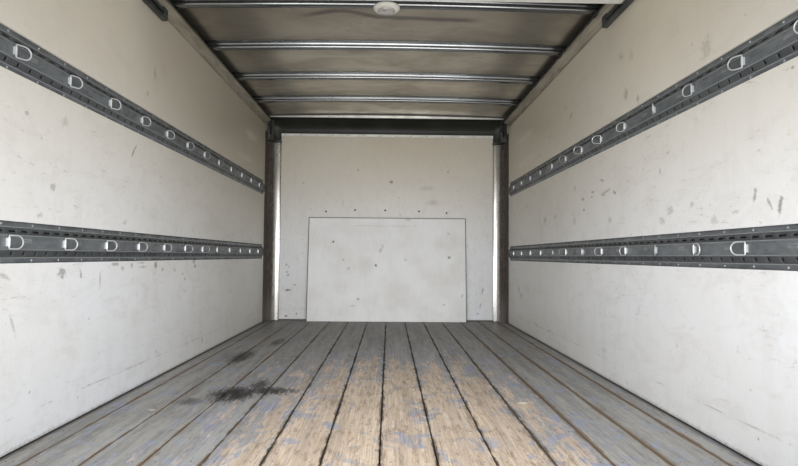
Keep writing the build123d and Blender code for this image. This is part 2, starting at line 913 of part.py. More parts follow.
def shaft_brackets():
    """Plates on the header that carry the counterbalance shaft."""
    half, y, z = shaft_place()
    t = frame_wall
    reach = bracket_half_height
    plates = []
    for x in (-half + 2 * drum_width, half - 2 * drum_width - t):
        plate = block(x, x + t, rear_inner, y + reach, z - reach, z + reach)
        plates.append(plate - shaft_part(shaft_radius + bracket_clearance, shaft_sides, x - t, x + 2 * t))
    return plates


os.makedirs("parts", exist_ok=True)

for name, side in sides.items():
    save("long_sill_" + name, long_sill(side))
    save("bottom_rail_" + name, bottom_rail(side))
    save("side_panel_" + name, side_panel(side))
    save("top_rail_" + name, top_rail(side))
    save("front_corner_" + name, front_corner(side))
    save("corner_cap_" + name, corner_cap(side))
    save("corner_gusset_" + name, corner_gusset(side))
    save("rear_post_" + name, rear_post(side))
    save("door_track_" + name, door_track(side))
    for level in cargo_rail_centres:
        save("cargo_rail_" + name + "_" + level, cargo_rail(side, level))
        save("rail_rings_" + name + "_" + level, fixed_rings(name, level))
        save("swing_ring_" + name + "_" + level, moving_ring(name, level))

save("crossmembers", crossmembers())
save("floor_boards", floor_boards())
save("roof_skin", roof_skin())
save("roof_bows", roof_bows())
save("header_bow", header_bow())
save("dome_light", dome_light())
save("front_panel", front_panel())
save("front_panel_cap", front_panel_cap())
save("front_bottom_rail", front_bottom_rail())
save("nose_cap", nose_cap())
save("bulkhead_board", bulkhead_board())
save("rear_header", rear_header())
save("rear_sill", rear_sill())
save("door_panels", door_panels())
save("door_hinges", door_hinges())
save("counterbalance", counterbalance())
save("shaft_brackets", shaft_brackets())
save("tail_lamps", [round_lamp(x, z) for x, z in lamp_places()])
save("front_markers", front_markers())
save("rear_markers", rear_markers())
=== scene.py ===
import json
from math import atan2, cos, floor, hypot, pi, radians, sin

import bmesh
import bpy
from mathutils import Matrix, Vector

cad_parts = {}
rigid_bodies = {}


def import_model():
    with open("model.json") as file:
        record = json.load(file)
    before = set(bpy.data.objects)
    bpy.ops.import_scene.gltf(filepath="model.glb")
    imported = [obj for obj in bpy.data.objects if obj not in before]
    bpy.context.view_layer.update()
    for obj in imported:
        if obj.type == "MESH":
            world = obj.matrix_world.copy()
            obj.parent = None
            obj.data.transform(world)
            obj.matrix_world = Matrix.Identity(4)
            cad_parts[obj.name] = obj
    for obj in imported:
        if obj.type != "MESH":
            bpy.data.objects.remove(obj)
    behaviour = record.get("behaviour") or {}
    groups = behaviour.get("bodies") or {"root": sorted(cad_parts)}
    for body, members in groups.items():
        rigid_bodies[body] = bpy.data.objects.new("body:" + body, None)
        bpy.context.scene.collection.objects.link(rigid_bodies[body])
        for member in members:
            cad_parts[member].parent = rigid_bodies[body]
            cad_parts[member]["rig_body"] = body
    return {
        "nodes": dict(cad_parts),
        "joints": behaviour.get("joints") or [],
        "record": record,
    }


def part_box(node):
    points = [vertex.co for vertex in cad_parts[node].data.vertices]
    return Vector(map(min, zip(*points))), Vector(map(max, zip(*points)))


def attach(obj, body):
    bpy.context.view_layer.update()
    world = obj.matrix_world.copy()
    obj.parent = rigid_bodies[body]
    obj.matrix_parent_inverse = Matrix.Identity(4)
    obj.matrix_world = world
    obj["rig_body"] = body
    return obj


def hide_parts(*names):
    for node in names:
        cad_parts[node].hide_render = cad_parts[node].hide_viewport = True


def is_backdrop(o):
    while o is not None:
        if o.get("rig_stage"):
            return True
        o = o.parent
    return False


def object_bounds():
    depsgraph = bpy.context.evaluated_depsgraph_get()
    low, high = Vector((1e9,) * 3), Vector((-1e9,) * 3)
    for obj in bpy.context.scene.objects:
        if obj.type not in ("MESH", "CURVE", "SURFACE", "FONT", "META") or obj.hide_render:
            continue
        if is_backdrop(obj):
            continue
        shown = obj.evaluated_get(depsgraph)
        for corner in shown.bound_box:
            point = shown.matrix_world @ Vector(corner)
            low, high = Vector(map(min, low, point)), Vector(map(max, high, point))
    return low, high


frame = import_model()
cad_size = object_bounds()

# Finish of a truck's cargo body. Metres; +X right, +Y towards the closed front wall, +Z up.
BODY = "cargo_body"
SIDES = {"left": -1, "right": 1}
LEVELS = ("lower", "upper")

# Places read from the frame
floor_low, floor_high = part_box("floor_boards")
floor_z = floor_high.z
rear_y = floor_low.y
front_y = floor_high.y
wall_x, wall_outer_x = (corner.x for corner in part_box("side_panel_right"))
ledge_x, rail_outer_x = (corner.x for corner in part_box("top_rail_right"))
bow_low, bow_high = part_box("roof_bows")
roof_low, roof_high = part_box("roof_skin")
header_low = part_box("header_bow")[0]
post_low, post_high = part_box("front_corner_right")
front_edge_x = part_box("front_panel")[1].x
strip_low, strip_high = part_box("front_panel_cap")
board_low, board_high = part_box("bulkhead_board")
track_low, track_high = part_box("door_track_right")
lamp_low, lamp_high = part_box("tail_lamps")
shaft_low, shaft_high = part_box("counterbalance")
dome_low, dome_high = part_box("dome_light")
hinges = {joint["name"]: Vector(joint["pos_m"]) for joint in frame["joints"]}
slots = {part["node"]: part["material_slot"] for part in frame["record"]["subparts"]}

# Camera, found by fitting the photo: its place, its lens and its turns
camera_from_front = 5.5755
camera_x = 0.0242
camera_over_floor = 0.634
camera_lens = 25.42
camera_yaw = radians(0.997)
camera_pitch = radians(2.356)
camera_roll = radians(0.470)

# Floor planks
plank_pitch = 0.18
plank_gap = 0.0045
plank_edge = 0.0018
stave_pitch = 0.0327
crossmember_pitch = 0.3048

# Lashing rails: the strip's width is measured along its folds
rail_sheet = 0.0025
rail_flange = 0.018
rail_slope = 0.026
rail_depth = 0.0127
rail_recess = 0.010
rail_height = 0.134
slot_pitch = 0.06096
slot_length = 0.034
slot_height = 0.0070
keyhole_length = 0.009
keyhole_height = 0.012
rail_rivet_pitch = 0.1524
# Embossed lines behind each ring: distance behind its bar, width, half-height, rise
embossed_lines = ((0.012, 0.0030, 0.008, 0.0008), (0.022, 0.0022, 0.018, 0.0008),
                  (0.037, 0.0016, 0.017, 0.0005))

# Lashing rings, as in the solids, with the angles in degrees of those that don't lie at rest
ring_pitch = 0.3048
ring_count = 15
ring_rod = 0.005
ring_height = 0.047
ring_length = 0.052
ring_rest_angle = 26.0
odd_rings = {
    ("right", "upper"): {5: 38.0, 6: 47.0, 7: 46.0, 9: 150.0, 10: 12.0},
    ("right", "lower"): {3: 42.0, 4: 164.0, 5: 42.0, 6: 175.0, 8: 9.0, 9: 155.0, 10: 176.0},
    ("left", "lower"): {4: 38.0, 5: 41.0, 6: 39.0, 11: 18.0},
}
saddle_width = 0.0078
saddle_height = 0.026
saddle_wall = 0.0016
hinge_x = hinges["ring_right_lower_swing"].x
hinge_to_web = wall_x + rail_recess - rail_depth - abs(hinge_x)

# Roof bows, as in the solids
bow_pitch = 0.6096
bow_count = 7
bow_base = 0.040
bow_flange = 0.018
bow_depth = 0.044
bow_crown = 0.018
bow_ridge = 0.0036
bow_sheet = 0.0016
first_bow_y = bow_high.y - bow_base / 2 - bow_flange

# Edges sharper than this, in degrees, are eased
sharp_angle = 35.0

# Corner posts' inner radius, and the middle of its arc
corner_radius = 0.115
corner_y = front_y - corner_radius

# Roll-up door, as in the solids
door_start = 0.232
door_panel_height = 0.26
door_panel_count = 7
track_radius = 0.25
track_plane = 0.045
track_width = 0.044

# Marks on the walls, in millimetres: place along the wall, height over the floor, half-length, half-height;
# then their tilt in degrees and their strength in hundredths. On the floor: X, Y, half-width, half-length.
left_marks = (
    (-1028, 566, 30, 26, 0, 50), (-900, 551, 8, 24, 10, 55), (-1100, 870, 26, 18, 20, 32),
    (-1257, 1094, 12, 8, 0, 35), (-1040, 1116, 30, 24, 40, 20), (-1290, 405, 8, 50, 25, 25),
    (-480, 1114, 7, 60, -38, 55), (-630, 588, 36, 9, 0, 42), (-560, 570, 20, 12, 0, 30),
    (-470, 580, 18, 16, 0, 36), (-370, 592, 50, 6, 0, 36), (-350, 572, 60, 6, 0, 34),
    (-200, 578, 20, 26, 30, 60), (-110, 555, 20, 10, 0, 38), (60, 545, 12, 14, 0, 34),
    (180, 522, 14, 12, 0, 45), (370, 600, 40, 30, 0, 40), (385, 562, 18, 12, 0, 65),
    (670, 610, 24, 14, 0, 46), (-173, 1600, 5, 40, 4, 24), (-140, 1595, 5, 45, 4, 24),
    (-270, 1550, 18, 40, 10, 26), (-346, 1422, 24, 20, 0, 22), (548, 87, 8, 22, 0, 60),
    (1215, 785, 10, 20, 0, 40), (1750, 770, 10, 40, 0, 55), (1656, 1900, 12, 34, 0, 80),
    (-1169, 765, 20, 12, 0, 28), (-549, 774, 22, 16, 0, 28), (-755, 530, 6, 40, 0, 40),
    (220, 490, 14, 12, 0, 45), (1164, 369, 12, 20, 0, 30), (1602, 426, 12, 30, 0, 30),
    (-1334, 559, 30, 10, -20, 30),
)
right_marks = (
    (-420, 1430, 30, 34, -10, 34), (-552, 1372, 18, 30, -25, 34), (406, 1531, 12, 36, 35, 50),
    (506, 1609, 14, 14, 0, 30), (-366, 1634, 50, 30, 30, 17), (-480, 1600, 30, 40, -20, 15),
    (-1113, 1400, 40, 50, 20, 20), (-110, 1050, 40, 10, 15, 42), (29, 1004, 26, 10, 0, 50),
    (-267, 970, 20, 12, 0, 50), (-160, 985, 60, 10, -8, 36), (194, 981, 30, 12, 12, 46),
    (340, 1064, 20, 20, 0, 30), (350, 860, 30, 30, 0, 20), (-756, 1004, 10, 16, 0, 34),
    (-1372, 835, 10, 30, 15, 46), (-1150, 770, 30, 20, 0, 22), (1840, 346, 12, 45, -8, 85),
    (1765, 298, 12, 40, 12, 90), (1560, 1060, 10, 30, 0, 50), (970, 620, 16, 20, 0, 26),
    (-279, 966, 16, 10, 0, 60), (46, 978, 14, 8, 0, 70), (-120, 972, 34, 6, 8, 50),
    (177, 915, 20, 12, 0, 50), (1008, 909, 50, 30, 0, 28), (758, 914, 40, 20, 0, 24),
    (-837, 832, 30, 30, 20, 26), (-769, 795, 34, 20, 0, 26), (-1484, 793, 12, 32, 20, 50),
    (-1440, 800, 7, 22, -30, 45), (873, 1496, 20, 10, 0, 32), (1141, 1415, 20, 15, 0, 32),
    (-1005, 837, 16, 16, 0, 26), (-212, 831, 34, 20, 0, 24), (1996, 1018, 10, 50, 0, 40),
)
front_marks = (
    (38, 1370, 24, 22, 0, 60), (-290, 1490, 16, 16, 0, 28), (605, 1476, 14, 18, 0, 40),
    (400, 1310, 90, 26, 0, 17), (457, 1165, 80, 34, 0, 20), (-436, 1156, 5, 50, 0, 34),
    (-830, 1350, 14, 14, 0, 35), (-965, 293, 45, 10, -8, 100), (-978, 469, 9, 12, 0, 80),
    (-968, 440, 9, 16, 20, 80), (-985, 540, 8, 14, 0, 60), (-960, 520, 9, 9, 0, 55),
    (-900, 345, 14, 12, 0, 35), (-981, 39, 14, 12, 0, 90), (-880, 60, 10, 14, 0, 50),
    (905, 70, 14, 14, 0, 45), (955, 300, 10, 40, 15, 45), (930, 150, 10, 34, 10, 40),
)
board_marks = (
    (-525, 771, 14, 14, 0, 90), (-104, 540, 14, 14, 0, 100), (615, 623, 20, 14, 0, 80),
    (-60, 690, 20, 30, 20, 28), (-40, 730, 14, 20, 0, 26), (-420, 595, 14, 14, 0, 34),
    (-370, 510, 22, 22, 0, 22), (185, 600, 20, 16, 0, 26), (610, 860, 18, 14, 0, 22),
    (210, 995, 30, 10, 0, 40), (-270, 215, 18, 14, 0, 45), (-320, 150, 34, 10, 0, 26),
    (560, 165, 20, 8, 0, 38), (740, 250, 8, 30, 12, 40),
)
# Painted reflections high on the side walls, in the same columns as the marks.
painted_wall_reflections = ((1750, 1660, 340, 50, 0, 24), (1620, 1440, 300, 45, 0, 18))
floor_stains = (
    (-680, -505, 130, 175, 0, 100), (-540, -440, 165, 90, 0, 95), (-600, -330, 50, 150, 0, 90),
    (-885, 440, 70, 260, 0, 90), (-830, -640, 60, 70, 0, 65), (-780, 1050, 50, 200, 0, 65),
)
floor_chalk = (
    (613, -642, 30, 18, 0, 90), (-126, 52, 12, 12, 0, 90), (-277, -379, 9, 14, 0, 80),
    (-935, -773, 18, 12, 0, 60),
)
# Screw holes in the front wall: X and height over the floor
wall_holes = ((-0.603, 1.070), (-0.317, 1.087), (-0.018, 1.087), (0.318, 1.080), (0.592, 1.066))


def shade(colour):
    """Colour given as it shows on a screen, from 0 to 255; a node's colour is left as it is."""
    if isinstance(colour, tuple):
        return (*(pow((c / 255 + 0.055) / 1.055, 2.4) for c in colour), 1.0)
    return colour


class Value:
    """A number worked out by a material's nodes: sums with it make more nodes."""

    def __init__(self, finish, socket):
        self.finish = finish
        self.socket = socket

    def __add__(self, other):
        return self.finish.math("ADD", self, other)

    def __sub__(self, other):
        return self.finish.math("SUBTRACT", self, other)

    def __rsub__(self, other):
        return self.finish.math("SUBTRACT", other, self)

    def __mul__(self, other):
        return self.finish.math("MULTIPLY", self, other)

    def __truediv__(self, other):
        return self.finish.math("DIVIDE", self, other)

    def __abs__(self):
        return self.finish.math("ABSOLUTE", self)

    def __floor__(self):
        return self.finish.math("FLOOR", self)

    def __round__(self):
        return self.finish.math("ROUND", self)

    def least(self, other):
        return self.finish.math("MINIMUM", self, other)

    def most(self, other):
        return self.finish.math("MAXIMUM", self, other)

    def off(self, other):
        """Distance from another number."""
        return abs(self - other)

    def ease(self, low, high, end=1.0, start=0.0):
        """Runs softly from start to end while the number runs from low to high."""
        bounds = {"Value": self, "From Min": low, "From Max": high, "To Min": start, "To Max": end}
        return self.finish.value("MapRange", bounds, interpolation_type="SMOOTHSTEP")


class Finish:
    """One material, with short calls for the nodes that feed its shader."""

    def __init__(self, name, metallic=0.0, roughness=0.5, specular=0.5):
        self.material = bpy.data.materials.new(name)
        self.material.use_nodes = True
        self.tree = self.material.node_tree
        self.shader = self.tree.nodes["Principled BSDF"]
        self.set({"Metallic": metallic, "Roughness": roughness, "Specular IOR Level": specular})
        self.place = self.node("TexCoord", {}).outputs["Object"]
        apart = self.node("SeparateXYZ", {0: self.place})
        self.x, self.y, self.z = (Value(self, socket) for socket in apart.outputs)

    def feed(self, node, inputs):
        """Links or sets a node's inputs, given by name or number."""
        for key, value in inputs.items():
            if isinstance(value, Value):
                value = value.socket
            if isinstance(value, bpy.types.NodeSocket):
                self.tree.links.new(value, node.inputs[key])
            else:
                node.inputs[key].default_value = value

    def set(self, inputs):
        self.feed(self.shader, inputs)

    def node(self, kind, inputs, **settings):
        made = self.tree.nodes.new("ShaderNode" + kind)
        for name, value in settings.items():
            setattr(made, name, value)
        self.feed(made, inputs)
        return made

    def value(self, kind, inputs, output=0, **settings):
        return Value(self, self.node(kind, inputs, **settings).outputs[output])

    def math(self, kind, a, b=0.0):
        return self.value("Math", {0: a, 1: b}, operation=kind)

    def stretched(self, scale, centre=(0, 0, 0), turn=(0, 0, 0)):
        """The piece's coordinates about a centre, turned, and scaled along each axis."""
        inputs = {"Vector": self.place, "Location": centre, "Rotation": turn, "Scale": scale}
        return self.node("Mapping", inputs, vector_type="TEXTURE").outputs[0]

    def noise(self, size, detail=4.0, rough=0.55, swirl=0.0):
        """Cloudy pattern from 0 to 1 whose lumps have the given size along X, Y and Z."""
        return self.value("TexNoise", {"Vector": self.stretched(size), "Scale": 1.0, "Detail": detail,
                                       "Roughness": rough, "Distortion": swirl})

    def flecks(self, size):
        """Distance to the nearest of many scattered points, in units of the given size."""
        return self.value("TexVoronoi", {"Vector": self.stretched(size), "Scale": 1.0}, "Distance")

    def chance(self, value):
        """A fixed random number from 0 to 1 for each whole value."""
        return self.value("TexWhiteNoise", {"W": value}, "Value", noise_dimensions="1D")

    def coats(self, below, *layers):
        """Colours laid over each other, each by its share."""
        for colour, share in layers:
            inputs = {0: share, 6: shade(below), 7: shade(colour)}
            below = self.node("Mix", inputs, data_type="RGBA").outputs[2]
        return below

    def smear(self, centre, size, turn, ragged, amount):
        """A ragged oval mark: amount at its centre, 0 outside it."""
        away = self.value("VectorMath", {0: self.stretched(size, centre, turn)}, "Value", operation="LENGTH")
        return (away + ragged * 2.6).ease(1.75, 2.35, 0.0, amount)

    def marks(self, rows, ragged, surface="side"):
        """The strongest of many marks on a side wall, on the front wall or on the floor."""
        far = 10.0
        strongest = 0.0
        for row in rows:
            a, b, half_a, half_b = (value / 1000 for value in row[:4])
            tilt = radians(row[4])
            places = {"side": ((0, a, floor_z + b), (far, half_a, half_b), (tilt, 0, 0)),
                      "front": ((a, 0, floor_z + b), (half_a, far, half_b), (0, tilt, 0)),
                      "floor": ((a, b, floor_z), (half_a, half_b, 0.5), (0, 0, tilt))}
            mark = self.smear(*places[surface], ragged, row[5] / 100)
            strongest = self.math("MAXIMUM", strongest, mark)
        return strongest

    def inward(self, middle):
        """1 on faces that look towards a point inside the body, 0 on faces that look away from it."""
        looks = self.node("NewGeometry", {}).outputs["Normal"]
        reach = self.node("VectorMath", {0: self.place, 1: middle}, operation="SUBTRACT").outputs[0]
        side = self.value("VectorMath", {0: looks, 1: reach}, "Value", operation="DOT_PRODUCT")
        return side.ease(0.02, -0.02)

    def done(self, base, roughness, height, depth, strength):
        """Feeds the shader its colour, its roughness and a bump."""
        bump = self.node("Bump", {"Strength": strength, "Distance": depth, "Height": height})
        self.set({"Base Color": base, "Roughness": roughness, "Normal": bump.outputs[0]})
        return self.material


def wall_finish(name, rows, surface="side", far_top_shade=0.0):
    """Off-white panel skin: cool low down, warmer and darker high up and far in by painted shade, with its
    own marks and painted reflections; clean outside.
    """
    f = Finish(name, 0.0, 0.45, 0.4)
    cloud = f.noise((0.9, 0.9, 0.7), 3.0)
    weave = f.noise((0.006, 0.006, 0.035), 2.0)
    broad = f.noise((0.06, 0.06, 0.25), 2.0)
    smudge = f.noise((0.05, 0.20, 0.09), 4.0, 0.7, 0.7)
    strokes = f.noise((0.05, 0.06, 0.009), 3.0, 0.7, 0.6)
    fine = f.noise((0.03, 0.03, 0.03), 2.0, 0.7)
    rubs = f.noise((0.05, 0.16, 0.05), 4.0, 0.75, 1.0)
    ragged = f.noise((0.012, 0.012, 0.012), 3.0, 0.7)
    streaks = f.noise((0.06, 0.06, 0.7), 3.0, 0.65)
    band = f.z.off(floor_z + 0.85).ease(0.62, 0.25, 1.0, 0.25)
    scuffs = strokes.ease(0.60, 0.70, 0.42) * smudge.ease(0.44, 0.58)
    dots = f.flecks((0.12, 0.12, 0.10)).ease(0.075, 0.025, 0.65)
    low = f.z.ease(floor_z + 1.3, floor_z + 0.3, 1.0, 0.25)
    grit = f.noise((0.006, 0.006, 0.006), 2.0, 0.7).ease(0.34, 0.56, 1.35, 0.45)
    line = f.z.off(floor_z + 0.108).ease(0.005, 0.001)
    # The coats high up and far in are painted shade, strongest high and far in on the left wall.
    base = f.coats(
        (240, 243, 248), ((209, 200, 181), f.z.ease(floor_z + 0.35, floor_z + 1.85)),
        ((222, 219, 211), cloud.ease(0.35, 0.75, 0.35)),
        ((216, 209, 191), f.y.ease(-0.8, 1.4, 0.4 if surface == "side" else 0.0)),
        ((146, 137, 120), f.z.ease(floor_z + 0.9, floor_z + 1.6) * f.y.ease(-1.2, 1.6, far_top_shade)),
        ((190, 188, 180), weave.ease(0.35, 0.7, 0.09)),
        ((196, 193, 183), broad.ease(0.45, 0.75, 0.10)),
        ((186, 181, 170), smudge.ease(0.46, 0.66, 0.13)),
        ((136, 130, 120), scuffs * band),
        ((104, 100, 92), dots * fine.ease(0.50, 0.62)),
        ((128, 122, 113), rubs.ease(0.61, 0.76, 0.42) * low),
        (f.coats((62, 57, 52), ((106, 86, 74), fine.ease(0.42, 0.58))),
         (f.marks(rows, ragged, surface) * grit).least(1.0)),
        ((150, 144, 134), line * rubs.ease(0.46, 0.60) * 0.4),
        ((96, 90, 82), (f.z + ragged * 0.03).ease(floor_z + 0.034, floor_z + 0.012, 0.6)))
    if surface == "side":
        # Painted reflections high up on the side walls.
        base = f.coats(base, ((250, 246, 232), f.marks(painted_wall_reflections, cloud)))
        outside = abs(f.x).ease(wall_x + 0.011, wall_x + 0.012)
    else:
        outside = f.y.ease(front_y + 0.010, front_y + 0.012)
    paint = f.coats((229, 230, 229), ((220, 221, 219), cloud.ease(0.35, 0.8)),
                    ((190, 188, 180), streaks.ease(0.55, 0.85, 0.3)))
    base = f.coats(base, (paint, outside))
    return f.done(base, cloud.ease(0.3, 0.8, 0.55, 0.36), weave + broad * 2.0, 0.0004, 0.5)


def floor_finish():
    """Hardwood planks whose blue-grey paint has worn through in the middle of the load space."""
    f = Finish("plank_wood", 0.0, 0.6, 0.3)
    strip = f.x / plank_pitch
    number = floor(strip)
    luck = f.chance(number)
    share = strip - number
    to_seam = (0.5 - share.off(0.5)) * plank_pitch
    stave = f.chance(floor(f.x / stave_pitch))
    grain = f.noise((0.0045, 0.20, 0.02), 4.0, 0.7)
    broad = f.noise((0.05, 0.7, 0.05), 3.0, 0.62)
    patches = f.noise((0.085, 0.24, 0.2), 5.0, 0.68, 0.5)
    ragged = f.noise((0.010, 0.06, 0.01), 4.0, 0.74)
    fine = f.noise((0.006, 0.018, 0.01), 2.0, 0.7)
    grime = f.noise((0.022, 0.11, 0.05), 4.0, 0.74, 0.4)
    pores = f.noise((0.0024, 0.022, 0.01), 2.0, 0.6)
    knots = f.flecks((0.030, 0.050, 0.5)).ease(0.11, 0.04, 0.9)
    bare = f.coats(
        (226, 210, 191), ((184, 164, 142), grain.ease(0.30, 0.70)),
        ((182, 166, 152), stave.ease(0.0, 1.0, 0.22)),
        ((150, 136, 124), broad.ease(0.42, 0.75, 0.5)),
        ((110, 86, 66), pores.ease(0.64, 0.78, 0.55)),
        ((122, 104, 88), grime.ease(0.48, 0.66, 0.6)),
        ((78, 58, 44), knots * fine.ease(0.46, 0.58)))
    paint = f.coats(
        (164, 164, 162), ((132, 132, 130), broad.ease(0.3, 0.7)),
        ((106, 102, 97), grain.ease(0.50, 0.76, 0.5)),
        ((190, 187, 180), f.noise((0.004, 0.16, 0.01), 2.0, 0.7).ease(0.60, 0.74, 0.5)),
        ((88, 82, 76), ragged.ease(0.54, 0.68) * 0.6),
        ((176, 172, 164), grime.ease(0.48, 0.36, 0.45)),
        ((110, 104, 96), grime.ease(0.56, 0.70, 0.5)))
    blue = f.coats((152, 160, 182), ((122, 128, 144), grain.ease(0.4, 0.7)))

    aside = f.x.off(0.04)
    worn = aside.ease(1.00, 0.12) * f.y.ease(1.60, -1.00)
    for pattern, amount in ((broad, 1.0), (patches, 1.6), (ragged, 1.2), (luck, 0.14)):
        worn = worn + (pattern - 0.5) * amount
    worn = worn - to_seam.ease(0.050, 0.006, 0.22)
    traces = f.noise((0.10, 0.16, 0.1), 5.0, 0.66, 1.0).ease(0.555, 0.61) * worn.ease(1.3, 0.6, 0.80, 0.35)
    line = share.off(0.36).ease(0.016, 0.004).most(share.off(0.70).ease(0.014, 0.004))
    edge = to_seam + (ragged - 0.5) * 0.034
    edge = edge - f.x.ease(0.30, 0.75, 0.005)
    edge = edge + f.noise((0.09, 0.30, 0.1), 3.0, 0.7).ease(0.42, 0.62, 0.006)
    dirt = f.coats((54, 43, 34), ((112, 90, 66), aside.ease(0.30, 0.75)))
    stains = f.marks(floor_stains, ragged, "floor") * grime.ease(0.34, 0.52, 1.0, 0.70)
    base = f.coats(
        paint, (blue, worn.ease(0.16, 0.40, 0.8) * patches.ease(0.34, 0.58, 1.0, 0.2)),
        (bare, worn.ease(0.28, 0.60, 0.97)),
        (blue, traces),
        ((108, 105, 101), f.y.ease(0.4, 2.3, 0.40)),
        ((96, 86, 76), line * ragged.ease(0.44, 0.60) * luck.ease(0.2, 1.0, 0.55, 0.1)),
        (dirt, edge.ease(0.0125, 0.0045, 0.85)),
        ((66, 60, 54), (abs(f.x) + ragged * 0.03).ease(wall_x - 0.014, wall_x + 0.004, 0.7)),
        ((38, 36, 36), stains),
        ((232, 229, 220), f.marks(floor_chalk, fine, "floor")))
    return f.done(base, grain.ease(0.3, 0.8, 0.70, 0.48), grain, 0.0012, 0.55)


def rail_finish():
    """Zinc-coated strip that has weathered to blue-grey, rubbed bright and stained in places, with painted
    shade on its slopes and painted highlights along its folds.
    """
    f = Finish("weathered_zinc", 0.25, 0.48)
    cloud = f.noise((0.05, 0.12, 0.05), 6.0, 0.7, 0.6)
    scratch = f.noise((0.003, 0.10, 0.003), 3.0, 0.6)
    stain = f.noise((0.03, 0.07, 0.03), 6.0, 0.7, 1.5)
    turns = (f.y - hinges["ring_right_lower_swing"].y) / ring_pitch
    stamp_share = 0.337
    stamp_rise = 0.005
    along = (turns - floor(turns)).off(stamp_share).ease(0.078, 0.060)
    levels = [hinges["ring_right_%s_swing" % level].z for level in LEVELS]
    tall = f.z.off(levels[0] + stamp_rise).least(f.z.off(levels[1] + stamp_rise))
    off = f.z.off(levels[0]).least(f.z.off(levels[1]))
    web = rail_height / 2 - rail_flange - rail_slope
    foot = web + rail_slope
    # Painted shade on the slopes, and painted highlights along the folds at both edges of each slope.
    slope_shade = off.ease(web + 0.001, web + 0.004) * off.ease(foot + 0.001, foot - 0.003)
    folds = [off.off(fold).ease(0.0022, 0.0007) * cloud.ease(0.35, 0.55, 0.75, 0.25) for fold in (web, foot)]
    stamp = along * tall.ease(0.0085, 0.0065) * scratch.ease(0.38, 0.60, 0.6)
    base = f.coats(
        (118, 123, 127), ((88, 93, 96), cloud.ease(0.3, 0.7)),
        ((140, 145, 148), scratch.ease(0.60, 0.76, 0.5)),
        ((46, 48, 48), stain.ease(0.60, 0.72, 0.7)),
        ((52, 55, 56), slope_shade * 0.62),
        *(((158, 162, 164), fold) for fold in folds),
        ((158, 163, 166), stamp))
    return f.done(base, cloud.ease(0.3, 0.8, 0.6, 0.38), scratch, 0.0003, 0.4)


def ring_finish():
    """Bright zinc of rings and saddles; the rings far from the doorway are darkened by painted shade."""
    f = Finish("ring_zinc", 0.5, 0.36)
    cloud = f.noise((0.1, 0.1, 0.1), 5.0, 0.6, 0.4)
    loops = abs(f.x).ease(hinge_x - 0.002, hinge_x - 0.005)
    # The loops of rings far from the doorway get painted shade.
    base = f.coats((206, 209, 211), ((172, 175, 177), cloud.ease(0.3, 0.72)),
                   ((96, 99, 101), loops * f.y.ease(-0.3, 1.1, 0.75)))
    return f.done(base, cloud.ease(0.3, 0.8, 0.50, 0.30), cloud, 0.0002, 0.3)


def corner_finish():
    """Aluminium corner post: bright towards the doorway, dirty brown beside the walls, dimmed high up by a
    painted reflection, clean outside.
    """
    f = Finish("corner_metal", 0.75, 0.3)
    aside = abs(f.x)
    mottle = f.noise((0.012, 0.012, 0.05), 6.0, 0.72, 0.8)
    cloud = f.noise((0.03, 0.03, 0.30), 4.0, 0.6)
    brushed = f.noise((0.003, 0.003, 0.30), 3.0, 0.6)
    grime = aside + (mottle - 0.5) * 0.05
    dirt = f.coats((34, 29, 24), ((96, 84, 76), mottle.ease(0.40, 0.64)),
                   ((112, 108, 108), f.z.ease(floor_z + 0.35, floor_z + 0.05, 0.6)))
    specks = f.flecks((0.022, 0.022, 0.045)).ease(0.2, 0.08, 0.7)
    dx = (aside - front_edge_x).most(0.0)
    dy = (f.y - corner_y).most(0.0)
    outside = f.math("SQRT", dx * dx + dy * dy).ease(corner_radius + 0.008, corner_radius + 0.012)
    metal = f.coats((200, 202, 204), ((190, 192, 194), cloud.ease(0.3, 0.7)))
    base = f.coats(
        (196, 195, 191), ((164, 163, 158), cloud.ease(0.3, 0.7)),
        ((136, 134, 128), brushed.ease(0.4, 0.75, 0.3)),
        # Painted reflection of the darker roof, dimming the post high up.
        ((140, 137, 128), f.z.ease(floor_z + 1.15, floor_z + 1.5) * cloud.ease(0.3, 0.7, 0.8, 0.3)),
        (dirt, grime.ease(1.102, 1.124, 0.94)),
        ((70, 66, 60), aside.ease(front_edge_x + 0.004, front_edge_x + 0.001, 0.8)),
        ((60, 54, 48), specks * mottle.ease(0.52, 0.62)),
        (metal, outside))
    dull = grime.ease(1.098, 1.120) * (1.0 - outside)
    f.set({"Metallic": 0.8 - dull * 0.8})
    return f.done(base, dull * 0.3 + cloud.ease(0.3, 0.8, 0.34, 0.24), brushed, 0.0002, 0.35)


